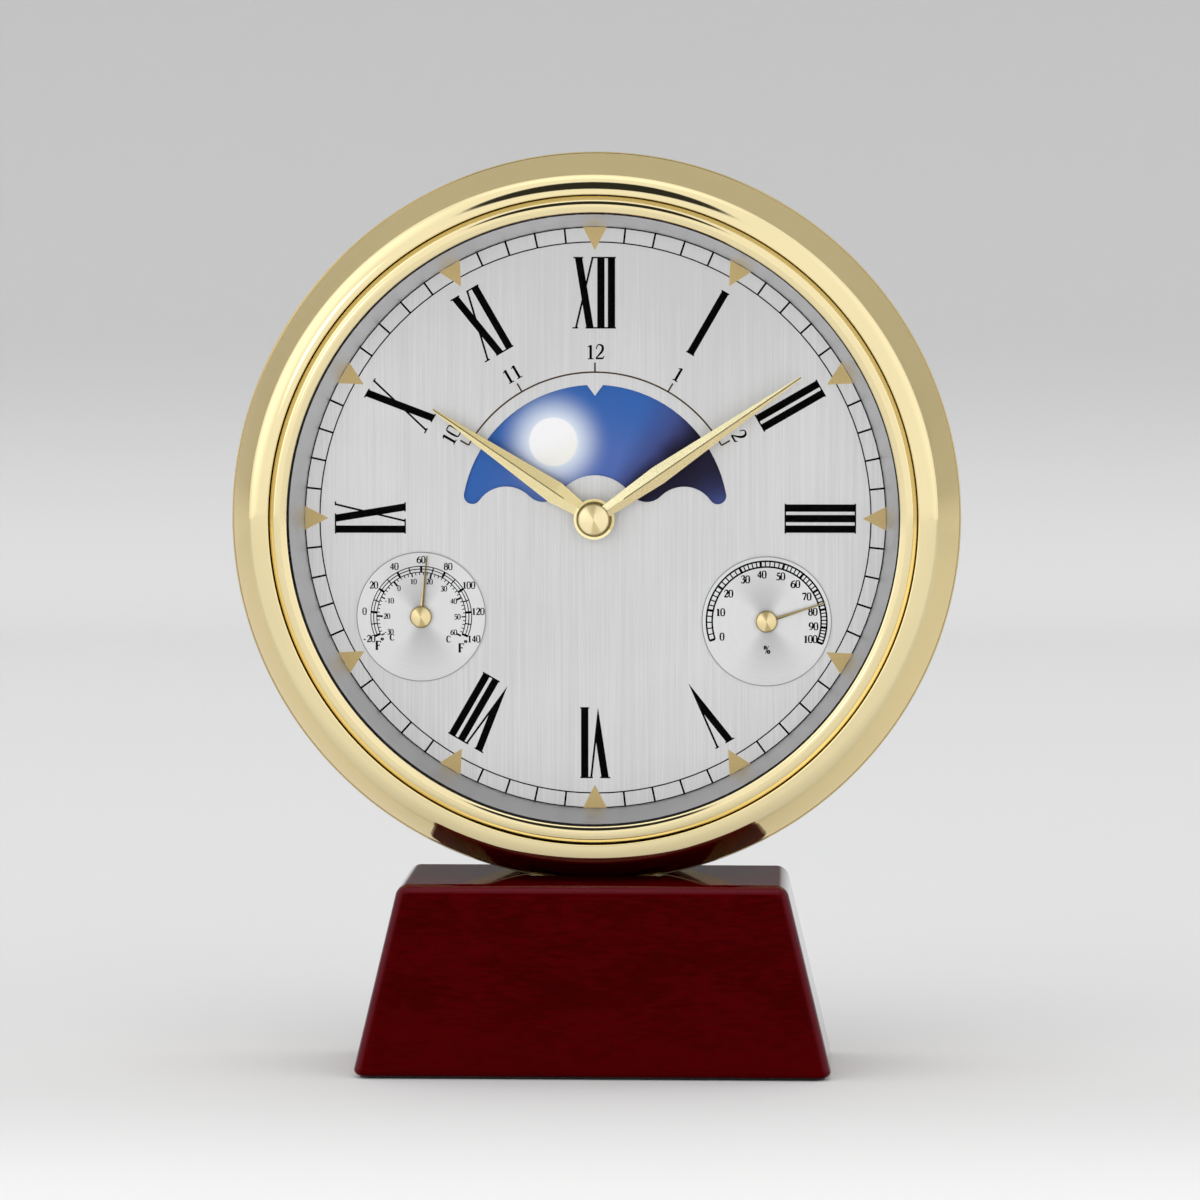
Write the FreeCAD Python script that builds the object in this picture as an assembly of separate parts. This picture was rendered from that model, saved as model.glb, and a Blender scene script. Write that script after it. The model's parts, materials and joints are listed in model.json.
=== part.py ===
import FreeCAD, Part
import os
from math import acos, atan2, cos, degrees, hypot, pi, radians, sin, sqrt, tan

# Moon phase desk clock: a round gilt case with a thermometer and a hygrometer
# in its dial, seated in a saddle on a lacquered wooden foot.
# Millimetres. X to the right, Y away from the viewer, Z up.
# The origin is the centre of the underside, where the clock rests on its felt.

# Wooden foot
foot_depth = 45.0
foot_top_width = 84.0
foot_bottom_width = 104.0
foot_wood_height = 41.6
foot_edge_radius = 3.0
foot_bottom_edge_radius = 1.2
felt_thickness = 0.6
felt_inset = 1.6
saddle_depth = 1.5
saddle_gap = 0.1

# Case drum, round, with its axis level and pointing at the viewer
case_radius = 80.0
case_wall = 2.0
drum_length = 20.0
web_thickness = 2.0
web_width = 12.0
lip_height = 1.5
lip_width = 0.6
fit_gap = 0.1
rear_edge_radius = 0.8

# Dial and the room in front of it
dial_face_depth = -2.5
dial_thickness = 0.8
hand_room = 11.0
glass_thickness = 2.0
gasket_thickness = 0.6
dial_to_drum = 3.7

# Bezel, a cone that flares towards the drum from a shoulder round its front face
rim_step = 0.2
bezel_flare = 5.4
bezel_shoulder_run = 2.3
bezel_shoulder_drop = 1.18
bezel_face_width = 1.9
bezel_front_over_glass = 1.5
bezel_face_round = 6.9
bezel_break_radius = 2.2
bezel_edge_radius = 0.35
bezel_wall = 2.0
bezel_front_wall = 4.0
bezel_skirt = 3.0
boss_radius = 1.9
boss_length = 8.0
boss_gap = 0.1

# Inner gilt ring that holds the crystal
ring_width = 3.9
ring_gap = 0.15
ring_crown = 0.5
ring_front_round = 0.9
glass_overlap = 1.6
glass_gap = 0.1

# Sloping silver ring between crystal and dial
slope_run = 2.4
slope_front_inset = 0.25

# Moon aperture in the dial, arcs tangent to each other
aperture_radius = 29.15
aperture_bulb_radius = 1.87
hump_centre_radius = 19.44
hump_centre_drop = 0.22
hump_radius = 7.14
lobe_radius = 4.4
centre_disc_radius = 9.4
pointer_half_width = 1.74
pointer_depth = 2.4

# Moon disc and the star wheel behind it
disc_margin = 1.3
disc_thickness = 0.5
disc_gap = 0.4
star_teeth = 59
star_radius = 9.0
star_tooth_depth = 0.6
star_thickness = 0.8
bush_radius = 2.4
bush_flange_radius = 3.2
bush_flange_thickness = 0.3
bush_clip_radius = 3.4
bush_clip_thickness = 0.2
axial_gap = 0.05
running_gap = 0.06

# Finger wheel, one turn a day, that moves the star wheel one tooth
day_module = 0.5
hour_pinion_teeth = 16
day_wheel_teeth = 32
day_gear_thickness = 0.9
day_gear_gap = 0.4
finger_bite = 0.45
finger_width = 0.9
finger_thickness = 0.6
day_hub_radius = 1.6
day_stud_radius = 0.6
day_stud_seat = 1.0
finger_rest_angle = -90.0

# Leaf spring that holds the star wheel between two teeth
jumper_width = 0.7
jumper_bite = 0.35
jumper_tooth_gap = 0.2
jumper_length = 9.0
jumper_foot_radius = 1.5

# Hands, lance shaped with a ridge along the middle
hour_hand_length = 42.5
hour_hand_width = 5.0
hour_hand_widest = 10.3
hour_neck_width = 2.7
minute_hand_gap = 9.15
minute_hand_width = 4.2
minute_hand_widest = 16.9
minute_neck_width = 2.5
hand_edge_thickness = 0.3
hand_ridge_height = 1.1
hand_tip_width = 0.5
hour_hub_radius = 4.45
hour_hub_thickness = 1.2
minute_hub_radius = 3.3
minute_hub_thickness = 1.3
hour_hand_height = 3.9
hand_spacing = 0.6
cap_radius = 3.42
cap_height = 1.9
cap_bore_depth = 1.0
hour_hand_angle = 55.9
minute_hand_angle = -55.5

# Hour tube and centre arbor
hour_tube_radius = 1.6
arbor_radius = 0.8

# Round instruments, one each side of the lower dial
instrument_radius = 14.3
instrument_margin = 5.6
thermometer_drop_angle = 29.6
hygrometer_drop_angle = 30.9
instrument_plate_thickness = 0.4
cup_radius = 9.4
cup_wall = 0.8
cup_length = 9.5
pointer_arbor_radius = 0.5
pointer_collar_radius = 1.2
pointer_collar_length = 4.0
pointer_length = 13.4
pointer_width = 0.75
pointer_tip_width = 0.25
pointer_thickness = 0.2
pointer_height = 0.8
pointer_cap_radius = 2.37
pointer_cap_height = 1.0
thermometer_angle = -5.7
hygrometer_angle = -72.0
coil_strip = 0.35
coil_width = 3.0
coil_half_turns = 8

# Movement case
movement_width = 55.0
movement_half_height = 28.0
movement_gap = 0.5
front_plate_thickness = 2.0
movement_depth = 16.5
movement_wall = 1.5
movement_corner_radius = 2.5
ear_radius = 3.5
ear_spacing = 18.0
ear_rise = 3.5
post_radius = 2.5
stud_radius = 1.25
nut_radius = 2.6
nut_thickness = 1.5
bridge_thickness = 1.0

# Battery, AA size, loaded from behind
battery_radius = 7.1
battery_length = 49.2
battery_nub_radius = 2.75
battery_nub_length = 1.3
battery_gap = 0.3
battery_end_gap = 0.1
contact_thickness = 0.3
contact_width = 6.0
bay_wall = 1.2
battery_floor = 3.5

# Motion work between the two hands, and the setting knob
cannon_module = 0.375
cannon_teeth = 12
motion_wheel_teeth = 36
motion_pinion_teeth = 10
hour_wheel_teeth = 40
motion_angle = 45.0
set_angle = 20.0
wheel_thickness = 0.6
pinion_thickness = 1.2
pivot_radius = 0.4
pivot_gap = 0.05
depthing = 0.04
hour_wheel_room = 0.5
layer_room = 0.6
knob_radius = 6.0
knob_length = 2.4
knob_hub_radius = 2.0
knob_flutes = 24
knob_flute_radius = 0.5
knob_standoff = 0.4

# Going train from the stepping motor to the centre wheel
rotor_pinion_teeth = 10
step_wheel_teeth = 60
step_pinion_teeth = 8
seconds_wheel_teeth = 40
seconds_pinion_teeth = 8
third_wheel_teeth = 60
third_pinion_teeth = 8
centre_wheel_teeth = 64
rotor_module = 0.2
seconds_module = 0.3
third_module = 0.25
centre_module = 0.3
third_angle = 150.0
seconds_angle = 80.0
step_angle = 30.0
rotor_angle = 0.0
magnet_radius = 2.0
magnet_thickness = 1.5
magnet_gap = 0.5
stator_thickness = 1.1
stator_arm = 2.8
stator_wall_gap = 2.6
core_width = 1.5
winding_radius = 2.5
winding_length = 12.0
winding_rise = 6.0
board_thickness = 0.8
board_width = 16.0
board_height = 15.0
quartz_radius = 1.0
quartz_length = 6.0

# Gear teeth, as shares of the module or of the tooth pitch
addendum_share = 0.8
dedendum_share = 1.0
tip_width_share = 0.16
root_width_share = 0.5

# Back cover with a window for the battery and the knob
cover_thickness = 2.0
cover_inset = 0.5
cover_gap = 0.2
window_gap = 1.5
window_corner_radius = 3.0

# Screws
lug_radius = 4.0
screw_radius = 1.25
screw_clearance = 0.35
screw_head_radius = 2.7
screw_head_height = 1.6
slot_width = 0.7
slot_depth = 0.8
screw_grip = 6.0
foot_bolt_radius = 2.0
foot_bolt_clearance = 0.3
foot_bolt_head_radius = 3.8
foot_bolt_head_height = 2.6
foot_bolt_spacing = 24.0
foot_bolt_bore_radius = 5.5
foot_bolt_bore_depth = 12.0
washer_radius = 5.0
washer_thickness = 1.0
nut_plate_length = 36.0
nut_plate_width = 10.0
nut_plate_thickness = 5.0

overrun = 1.0

# Places worked out from the sizes above
foot_top = felt_thickness + foot_wood_height
axis_height = foot_top - saddle_depth + case_radius
dial_back = dial_face_depth + dial_thickness
drum_front = dial_back + dial_to_drum
drum_back = drum_front + drum_length
glass_back = dial_face_depth - hand_room
glass_front = glass_back - glass_thickness
bezel_front = glass_front - bezel_front_over_glass
bezel_rear_radius = case_radius - rim_step
bezel_shoulder_radius = bezel_rear_radius - bezel_flare
bezel_front_radius = bezel_shoulder_radius - bezel_shoulder_run
bezel_bore = bezel_front_radius - bezel_face_width
ring_outer = bezel_bore - ring_gap
opening_radius = bezel_bore - ring_width
glass_radius = opening_radius + glass_overlap
ring_bore = glass_radius + glass_gap
slope_front_radius = opening_radius - slope_front_inset
dial_visible_radius = slope_front_radius - slope_run
minute_hand_length = dial_visible_radius - minute_hand_gap

disc_front = dial_back + disc_gap
disc_back = disc_front + disc_thickness
star_back = disc_back + star_thickness
clip_front = star_back + axial_gap
bush_back = clip_front + bush_clip_thickness
day_gear_front = star_back + day_gear_gap
day_gear_back = day_gear_front + day_gear_thickness
movement_front = day_gear_back + movement_gap
plate_back = movement_front + front_plate_thickness
movement_back = movement_front + movement_depth
cover_back = drum_back - cover_inset
cover_front = cover_back - cover_thickness

hour_hub_front = dial_face_depth - hour_hand_height - hour_hub_thickness
hour_tube_front = hour_hub_front + axial_gap
minute_hub_back = hour_hub_front - hand_spacing
minute_hub_front = minute_hub_back - minute_hub_thickness
arbor_front = minute_hub_front - cap_bore_depth

day_distance = day_module * (hour_pinion_teeth + day_wheel_teeth) / 2 + depthing
motion_distance = cannon_module * (cannon_teeth + motion_wheel_teeth) / 2 + depthing
hour_module = 2 * (motion_distance - depthing) / (motion_pinion_teeth + hour_wheel_teeth)
third_distance = centre_module * (centre_wheel_teeth + third_pinion_teeth) / 2 + depthing
seconds_distance = third_module * (third_wheel_teeth + seconds_pinion_teeth) / 2 + depthing
step_distance = seconds_module * (seconds_wheel_teeth + step_pinion_teeth) / 2 + depthing
rotor_distance = rotor_module * (step_wheel_teeth + rotor_pinion_teeth) / 2 + depthing

hour_wheel_front = plate_back + hour_wheel_room
hour_wheel_back = hour_wheel_front + wheel_thickness
cannon_front = hour_wheel_back + layer_room
cannon_back = cannon_front + pinion_thickness
centre_wheel_front = cannon_back + layer_room
third_wheel_front = centre_wheel_front + wheel_thickness + layer_room
seconds_wheel_front = third_wheel_front + wheel_thickness + layer_room
step_wheel_front = seconds_wheel_front + wheel_thickness + layer_room
bridge_front = step_wheel_front + wheel_thickness + layer_room
bridge_back = bridge_front + bridge_thickness
pinion_overlap = (pinion_thickness - wheel_thickness) / 2


def polar(radius, angle, start=(0, 0)):
    """A point at an angle in degrees, anticlockwise from the right as the viewer sees it."""
    return (start[0] + radius * cos(radians(angle)), start[1] + radius * sin(radians(angle)))


motion_place = polar(motion_distance, motion_angle)
set_place = polar(motion_distance, set_angle, motion_place)
third_place = polar(third_distance, third_angle)
seconds_place = polar(seconds_distance, seconds_angle, third_place)
step_place = polar(step_distance, step_angle, seconds_place)
rotor_place = polar(rotor_distance, rotor_angle, step_place)
day_place = polar(day_distance, finger_rest_angle)
instrument_distance = dial_visible_radius - instrument_margin - instrument_radius
thermometer_place = polar(instrument_distance, 180 + thermometer_drop_angle)
hygrometer_place = polar(instrument_distance, -hygrometer_drop_angle)
ear_places = [(side * ear_spacing, level * (movement_half_height + ear_rise))
              for side in (-1, 1) for level in (-1, 1)]
boss_angles = (0, 90, 180, 270)
lug_angles = (45, 135, 225, 315)
boss_distance = bezel_bore + bezel_wall + boss_radius - boss_gap
lug_distance = case_radius - case_wall / 2 - lug_radius

forward = FreeCAD.Vector(0, 1, 0)


def at(place, depth):
    """A point given across the dial from its axis, and in depth."""
    return FreeCAD.Vector(place[0], depth, axis_height + place[1])


def rod(front, back, radius, place=(0, 0)):
    return Part.makeCylinder(radius, back - front, at(place, front), forward)


def tube(front, back, outer, inner, place=(0, 0)):
    hole = rod(front - overrun, back + overrun, inner, place)
    return rod(front, back, outer, place).cut(hole)


def slab(left, right, front, back, low, high):
    """A box with its heights counted from the dial's axis."""
    corner = FreeCAD.Vector(left, front, axis_height + low)
    return Part.makeBox(right - left, back - front, high - low, corner)


def corner_arc(before, corner, after, radius):
    """The arc that rounds a corner of an outline: its two ends and its middle."""
    to_before = (before - corner).normalize()
    to_after = (after - corner).normalize()
    half_angle = acos(max(-1, min(1, to_before.dot(to_after)))) / 2
    setback = radius / tan(half_angle)
    middle_line = (to_before + to_after).normalize()
    centre = corner + middle_line * (radius / sin(half_angle))
    return corner + to_before * setback, centre - middle_line * radius, corner + to_after * setback


def outline(points, rounding=None):
    """A closed face from points; rounding gives the radius at some of the corners."""
    rounding = rounding or {}
    stops, arcs = [], []
    count = len(points)
    for index, corner in enumerate(points):
        radius = rounding.get(index, 0)
        if radius:
            start, middle, end = corner_arc(points[index - 1], corner, points[(index + 1) % count], radius)
            stops.append((start, end))
            arcs.append(Part.Arc(start, middle, end).toShape())
        else:
            stops.append((corner, corner))
            arcs.append(None)
    edges = []
    for index in range(count):
        if arcs[index]:
            edges.append(arcs[index])
        edges.append(Part.makeLine(stops[index][1], stops[(index + 1) % count][0]))
    return Part.Face(Part.Wire(edges))


def turned(points, rounding=None):
    """A ring turned about the dial's axis from (radius, depth) points."""
    section = outline([at((radius, 0), depth) for radius, depth in points], rounding)
    return section.revolve(at((0, 0), 0), forward, 360)


def plate(points, front, back, place=(0, 0), angle=0, rounding=None):
    """A flat piece cut to an outline across the dial."""
    face = outline([at((place[0] + x, place[1] + z), front) for x, z in points], rounding)
    if angle:
        face.rotate(at(place, front), -forward, angle)
    return face.extrude(forward * (back - front))


def gear(teeth, module, front, back, place, phase, bore=0):
    """A spur gear with straight flanks. The phase is the angle of one tooth's middle."""
    pitch_radius = module * teeth / 2
    tip = pitch_radius + module * addendum_share
    root = pitch_radius - module * dedendum_share
    pitch = 2 * pi * pitch_radius / teeth
    half_tip = degrees(tip_width_share * pitch / tip) / 2
    half_root = degrees(root_width_share * pitch / root) / 2
    points = []
    for tooth in range(teeth):
        middle = phase + tooth * 360 / teeth
        points.append(polar(root, middle - half_root))
        points.append(polar(tip, middle - half_tip))
        points.append(polar(tip, middle + half_tip))
        points.append(polar(root, middle + half_root))
    wheel = plate(points, front, back, place)
    return wheel.cut(rod(front - overrun, back + overrun, bore, place)) if bore else wheel


def meshed(angle, phase, teeth, mate_teeth):
    """The phase that puts a mate in mesh with a gear that lies behind it at an angle."""
    return angle + 180 + 180 / mate_teeth + (angle - phase) * teeth / mate_teeth


def spiral(place, front, back, inner, outer):
    """A strip wound in half turns, from the collar out to the cup."""
    growth = (outer - inner) / coil_half_turns
    sides = []
    for offset in (-coil_strip / 2, coil_strip / 2):
        arcs = []
        side = 1
        centre_x = 0
        radius = inner
        for turn in range(coil_half_turns):
            start = (centre_x + side * (radius + offset), 0)
            middle = (centre_x, side * (radius + offset))
            end = (centre_x - side * (radius + offset), 0)
            arcs.append([at((place[0] + x, place[1] + z), front) for x, z in (start, middle, end)])
            centre_x += side * growth / 2
            radius += growth / 2
            side = -side
        sides.append(arcs)
    edges = [Part.Arc(*arc).toShape() for arc in sides[0]]
    edges.append(Part.makeLine(sides[0][-1][2], sides[1][-1][2]))
    edges += [Part.Arc(*arc).toShape() for arc in reversed(sides[1])]
    edges.append(Part.makeLine(sides[1][0][0], sides[0][0][0]))
    wire = Part.Wire(Part.__sortEdges__(edges))
    return Part.Face(wire).extrude(forward * (back - front))


def screw(place, seat, tip, radius, head_radius, head_height):
    """A slotted screw that points at the viewer, with its head behind the seat."""
    body = rod(tip, seat, radius, place).fuse(rod(seat, seat + head_height, head_radius, place))
    slot = slab(place[0] - head_radius - overrun, place[0] + head_radius + overrun,
                seat + head_height - slot_depth, seat + head_height + overrun,
                place[1] - slot_width / 2, place[1] + slot_width / 2)
    return body.cut(slot)


# Foot

def foot_shape():
    """The four sided foot, wider below, with rounded edges."""
    half_depth = foot_depth / 2
    bottom = [FreeCAD.Vector(side * foot_bottom_width / 2, end * half_depth, felt_thickness)
              for side, end in ((-1, -1), (1, -1), (1, 1), (-1, 1))]
    top = [FreeCAD.Vector(side * foot_top_width / 2, end * half_depth, foot_top)
           for side, end in ((-1, -1), (1, -1), (1, 1), (-1, 1))]
    wires = [Part.makePolygon(corners + [corners[0]]) for corners in (bottom, top)]
    block = Part.makeLoft(wires, True, True)
    upper = [edge for edge in block.Edges if edge.BoundBox.ZMax > foot_top - foot_edge_radius]
    block = block.makeFillet(foot_edge_radius, upper)
    lower = [edge for edge in block.Edges if edge.BoundBox.ZMax < felt_thickness + foot_edge_radius / 2]
    return block.makeFillet(foot_bottom_edge_radius, lower)


def foot_bolt_places():
    middle = (drum_front + drum_back) / 2
    return [FreeCAD.Vector(side * foot_bolt_spacing / 2, middle, 0) for side in (-1, 1)]


def foot_bores(radius, low, high):
    """Upright holes at the two bolts."""
    up = FreeCAD.Vector(0, 0, 1)
    holes = [Part.makeCylinder(radius, high - low, place + up * low, up) for place in foot_bolt_places()]
    return holes[0].fuse(holes[1:])


def wood_base():
    """The foot with its saddle, which starts where the bezel's flare would meet the wood."""
    flare_slope = (drum_front - bezel_front - bezel_shoulder_drop) / bezel_flare
    saddle_front = drum_front - (saddle_depth - rim_step + saddle_gap) * flare_slope
    saddle = rod(saddle_front, foot_depth / 2 + overrun, case_radius)
    holes = foot_bores(foot_bolt_radius + foot_bolt_clearance, felt_thickness - overrun, foot_top)
    counterbores = foot_bores(foot_bolt_bore_radius, felt_thickness - overrun,
                              felt_thickness + foot_bolt_bore_depth)
    return foot_shape().cut([saddle, holes, counterbores])


def felt_pad():
    half_width = foot_bottom_width / 2 - felt_inset
    half_depth = foot_depth / 2 - felt_inset
    corners = [FreeCAD.Vector(side * half_width, end * half_depth, 0)
               for side, end in ((-1, -1), (1, -1), (1, 1), (-1, 1))]
    face = outline(corners, {index: foot_edge_radius for index in range(len(corners))})
    return face.extrude(FreeCAD.Vector(0, 0, felt_thickness))


def base_bolts():
    seat = felt_thickness + foot_bolt_bore_depth - washer_thickness
    up = FreeCAD.Vector(0, 0, 1)
    top = nut_plate_top()
    bolts = []
    for place in foot_bolt_places():
        shank = Part.makeCylinder(foot_bolt_radius, top - seat, place + up * seat, up)
        head = Part.makeCylinder(foot_bolt_head_radius, foot_bolt_head_height,
                                 place + up * (seat - foot_bolt_head_height), up)
        slot = Part.makeBox(slot_width, foot_bolt_head_radius * 2 + overrun, slot_depth + overrun,
                            place + FreeCAD.Vector(-slot_width / 2, -foot_bolt_head_radius - overrun / 2,
                                                   seat - foot_bolt_head_height - overrun))
        bolts.append(shank.fuse(head).cut(slot))
    return Part.makeCompound(bolts)


def base_washers():
    seat = felt_thickness + foot_bolt_bore_depth
    up = FreeCAD.Vector(0, 0, 1)
    rings = []
    for place in foot_bolt_places():
        ring = Part.makeCylinder(washer_radius, washer_thickness, place + up * (seat - washer_thickness), up)
        hole = Part.makeCylinder(foot_bolt_radius + foot_bolt_clearance, washer_thickness + 2 * overrun,
                                 place + up * (seat - washer_thickness - overrun), up)
        rings.append(ring.cut(hole))
    return Part.makeCompound(rings)


def nut_plate_top():
    return axis_height - (case_radius - case_wall) + nut_plate_thickness


def nut_plate():
    """A bar along the floor of the drum, curved below to lie against it."""
    middle = (drum_front + web_thickness + cover_front) / 2
    wall_bottom = axis_height - case_radius
    bar = Part.makeBox(nut_plate_length, nut_plate_width, nut_plate_top() - wall_bottom,
                       FreeCAD.Vector(-nut_plate_length / 2, middle - nut_plate_width / 2, wall_bottom))
    bar = bar.common(rod(drum_front, drum_back, case_radius - case_wall))
    holes = foot_bores(foot_bolt_radius, wall_bottom, nut_plate_top() + overrun)
    return bar.cut(holes)


# Case

def case_drum():
    wall = turned([(case_radius, drum_front), (case_radius, drum_back),
                   (case_radius - case_wall, drum_back), (case_radius - case_wall, drum_front)],
                  {1: rear_edge_radius})
    web = tube(drum_front, drum_front + web_thickness, case_radius - case_wall + fit_gap,
               case_radius - case_wall - web_width)
    lip_outer = skirt_radius() - fit_gap
    lip = tube(drum_front - lip_height, drum_front + web_thickness, lip_outer, lip_outer - lip_width)
    lugs = [rod(drum_front, cover_front, lug_radius, polar(lug_distance, angle)) for angle in lug_angles]
    drum = wall.fuse([web, lip] + lugs)
    holes = [rod(drum_front - overrun, drum_front + web_thickness + overrun,
                 screw_radius + screw_clearance, polar(boss_distance, angle)) for angle in boss_angles]
    holes += [rod(cover_front - screw_grip, cover_front + overrun, screw_radius,
                  polar(lug_distance, angle)) for angle in lug_angles]
    holes.append(foot_bores(foot_bolt_radius + foot_bolt_clearance, 0, axis_height - case_radius / 2))
    return drum.cut(holes).removeSplitter()


def skirt_radius():
    """The inside of the bezel's channel where the drum's lip enters it."""
    return bezel_rear_radius - bezel_wall - rim_step


def bezel():
    channel_front = bezel_front + bezel_front_wall
    channel_inner = bezel_bore + bezel_wall
    body = turned([(bezel_bore, bezel_front), (bezel_front_radius, bezel_front),
                   (bezel_shoulder_radius, bezel_front + bezel_shoulder_drop),
                   (bezel_rear_radius, drum_front), (skirt_radius(), drum_front),
                   (skirt_radius(), drum_front - bezel_skirt),
                   (channel_inner + bezel_wall / 2, channel_front), (channel_inner, channel_front),
                   (channel_inner, drum_front), (bezel_bore, drum_front)],
                  {0: bezel_edge_radius, 1: bezel_face_round, 2: bezel_break_radius})
    bosses = [rod(drum_front - boss_length, drum_front, boss_radius, polar(boss_distance, angle))
              for angle in boss_angles]
    holes = [rod(drum_front - screw_grip, drum_front + overrun, screw_radius,
                 polar(boss_distance, angle)) for angle in boss_angles]
    return body.fuse(bosses).cut(holes).removeSplitter()


def crystal_ring():
    """The inner gilt ring: a low crown in front, a lip over the crystal, a sleeve down to the dial."""
    crown = bezel_front - ring_crown
    middle = (opening_radius + ring_outer) / 2
    return turned([(opening_radius, glass_front), (opening_radius, bezel_front + ring_front_round),
                   (opening_radius + ring_front_round, bezel_front), (middle, crown),
                   (ring_outer - ring_front_round, bezel_front), (ring_outer, bezel_front + ring_front_round),
                   (ring_outer, dial_face_depth), (ring_bore, dial_face_depth), (ring_bore, glass_front)],
                  {2: ring_front_round, 3: ring_width, 4: ring_front_round})


def crystal():
    return rod(glass_front, glass_back, glass_radius)


def crystal_gasket():
    return tube(glass_back, glass_back + gasket_thickness, glass_radius, slope_front_radius)


def slope_ring():
    front = glass_back + gasket_thickness
    return turned([(slope_front_radius, front), (glass_radius, front), (glass_radius, dial_face_depth),
                   (dial_visible_radius, dial_face_depth)])


def dial_spacer():
    return tube(dial_back, drum_front, ring_outer, case_radius - case_wall - web_width)


def case_screws():
    seat = drum_front + web_thickness
    return Part.makeCompound([
        screw(polar(boss_distance, angle), seat, drum_front - screw_grip, screw_radius,
              screw_head_radius, screw_head_height) for angle in boss_angles])


def window_sizes():
    half_width = movement_width / 2 + window_gap
    half_height = movement_half_height + window_gap
    return half_width, half_height


def back_cover():
    disc = rod(cover_front, cover_back, case_radius - case_wall - cover_gap)
    half_width, half_height = window_sizes()
    window = plate([(-half_width, -half_height), (half_width, -half_height),
                    (half_width, half_height), (-half_width, half_height)],
                   cover_front - overrun, cover_back + overrun,
                   rounding={corner: window_corner_radius for corner in range(4)})
    holes = [rod(cover_front - overrun, cover_back + overrun, screw_radius + screw_clearance,
                 polar(lug_distance, angle)) for angle in lug_angles]
    return disc.cut([window] + holes)


def cover_screws():
    return Part.makeCompound([
        screw(polar(lug_distance, angle), cover_back, cover_front - screw_grip, screw_radius,
              screw_head_radius, screw_head_height / 2) for angle in lug_angles])


# Dial and moon

def circles_meet(first, first_radius, second, second_radius, side):
    """Where two circles cross, on the chosen side of the line between their centres."""
    gap = hypot(second[0] - first[0], second[1] - first[1])
    along = (first_radius ** 2 - second_radius ** 2 + gap ** 2) / (2 * gap)
    across = side * sqrt(first_radius ** 2 - along ** 2)
    unit = ((second[0] - first[0]) / gap, (second[1] - first[1]) / gap)
    return (first[0] + unit[0] * along - unit[1] * across,
            first[1] + unit[1] * along + unit[0] * across)


def point_towards(centre, radius, target):
    angle = atan2(target[1] - centre[1], target[0] - centre[0])
    return (centre[0] + radius * cos(angle), centre[1] + radius * sin(angle))


def arc_between(centre, radius, start, end, side, front):
    """An arc of a circle from start to end. Side is 1 for the half turn's bulge upwards, -1 down."""
    halfway = ((start[0] + end[0]) / 2 - centre[0], (start[1] + end[1]) / 2 - centre[1])
    length = hypot(*halfway) * side
    middle = (centre[0] + halfway[0] / length * radius, centre[1] + halfway[1] / length * radius)
    return Part.Arc(at(start, front), at(middle, front), at(end, front)).toShape()


def moon_aperture(front, back):
    hump = (hump_centre_radius, -hump_centre_drop)
    origin = (0, 0)
    bulb = circles_meet(origin, aperture_radius - aperture_bulb_radius, hump,
                        hump_radius + aperture_bulb_radius, 1)
    lobe = circles_meet(origin, centre_disc_radius + lobe_radius, hump, hump_radius + lobe_radius, 1)
    arch_end = point_towards(origin, aperture_radius, bulb)
    bulb_end = point_towards(bulb, aperture_bulb_radius, hump)
    hump_end = point_towards(hump, hump_radius, lobe)
    lobe_end = point_towards(origin, centre_disc_radius, lobe)
    arch_rise = sqrt(aperture_radius ** 2 - pointer_half_width ** 2)
    arch_start = (pointer_half_width, arch_rise)
    pointer_tip = (0, aperture_radius - pointer_depth)

    def half(side):
        def flip(point):
            return (side * point[0], point[1])

        return [Part.makeLine(at(pointer_tip, front), at(flip(arch_start), front)),
                arc_between(origin, aperture_radius, flip(arch_start), flip(arch_end), 1, front),
                arc_between(flip(bulb), aperture_bulb_radius, flip(arch_end), flip(bulb_end), 1, front),
                arc_between(flip(hump), hump_radius, flip(bulb_end), flip(hump_end), 1, front),
                arc_between(flip(lobe), lobe_radius, flip(hump_end), flip(lobe_end), 1, front)]

    top = Part.Arc(at(lobe_end, front), at((0, centre_disc_radius), front),
                   at((-lobe_end[0], lobe_end[1]), front)).toShape()
    wire = Part.Wire(Part.__sortEdges__(half(1) + half(-1) + [top]))
    return Part.Face(wire).extrude(forward * (back - front))


def dial_plate():
    disc = rod(dial_face_depth, dial_back, ring_outer)
    front, back = dial_face_depth - overrun, dial_back + overrun
    cups = [rod(front, back, cup_radius, place) for place in (thermometer_place, hygrometer_place)]
    return disc.cut([moon_aperture(front, back), rod(front, back, bush_radius)] + cups)


def dial_bush():
    sleeve = tube(dial_face_depth, bush_back, bush_radius, hour_tube_radius + running_gap)
    flange = tube(dial_face_depth - bush_flange_thickness, dial_face_depth, bush_flange_radius,
                  hour_tube_radius + running_gap)
    return sleeve.fuse(flange).removeSplitter()


def bush_clip():
    return tube(clip_front, bush_back, bush_clip_radius, bush_radius)


def moon_disc():
    return tube(disc_front, disc_back, aperture_radius + disc_margin, bush_radius + running_gap)


def moon_star_wheel():
    """A wheel with one pointed tooth for each day of two lunar months."""
    points = []
    for tooth in range(star_teeth):
        points.append(polar(star_radius - star_tooth_depth, tooth * 360 / star_teeth))
        points.append(polar(star_radius, (tooth + 1 / 2) * 360 / star_teeth))
    wheel = plate(points, disc_back, star_back)
    return wheel.cut(rod(disc_back - overrun, star_back + overrun, bush_radius + running_gap))


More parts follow.
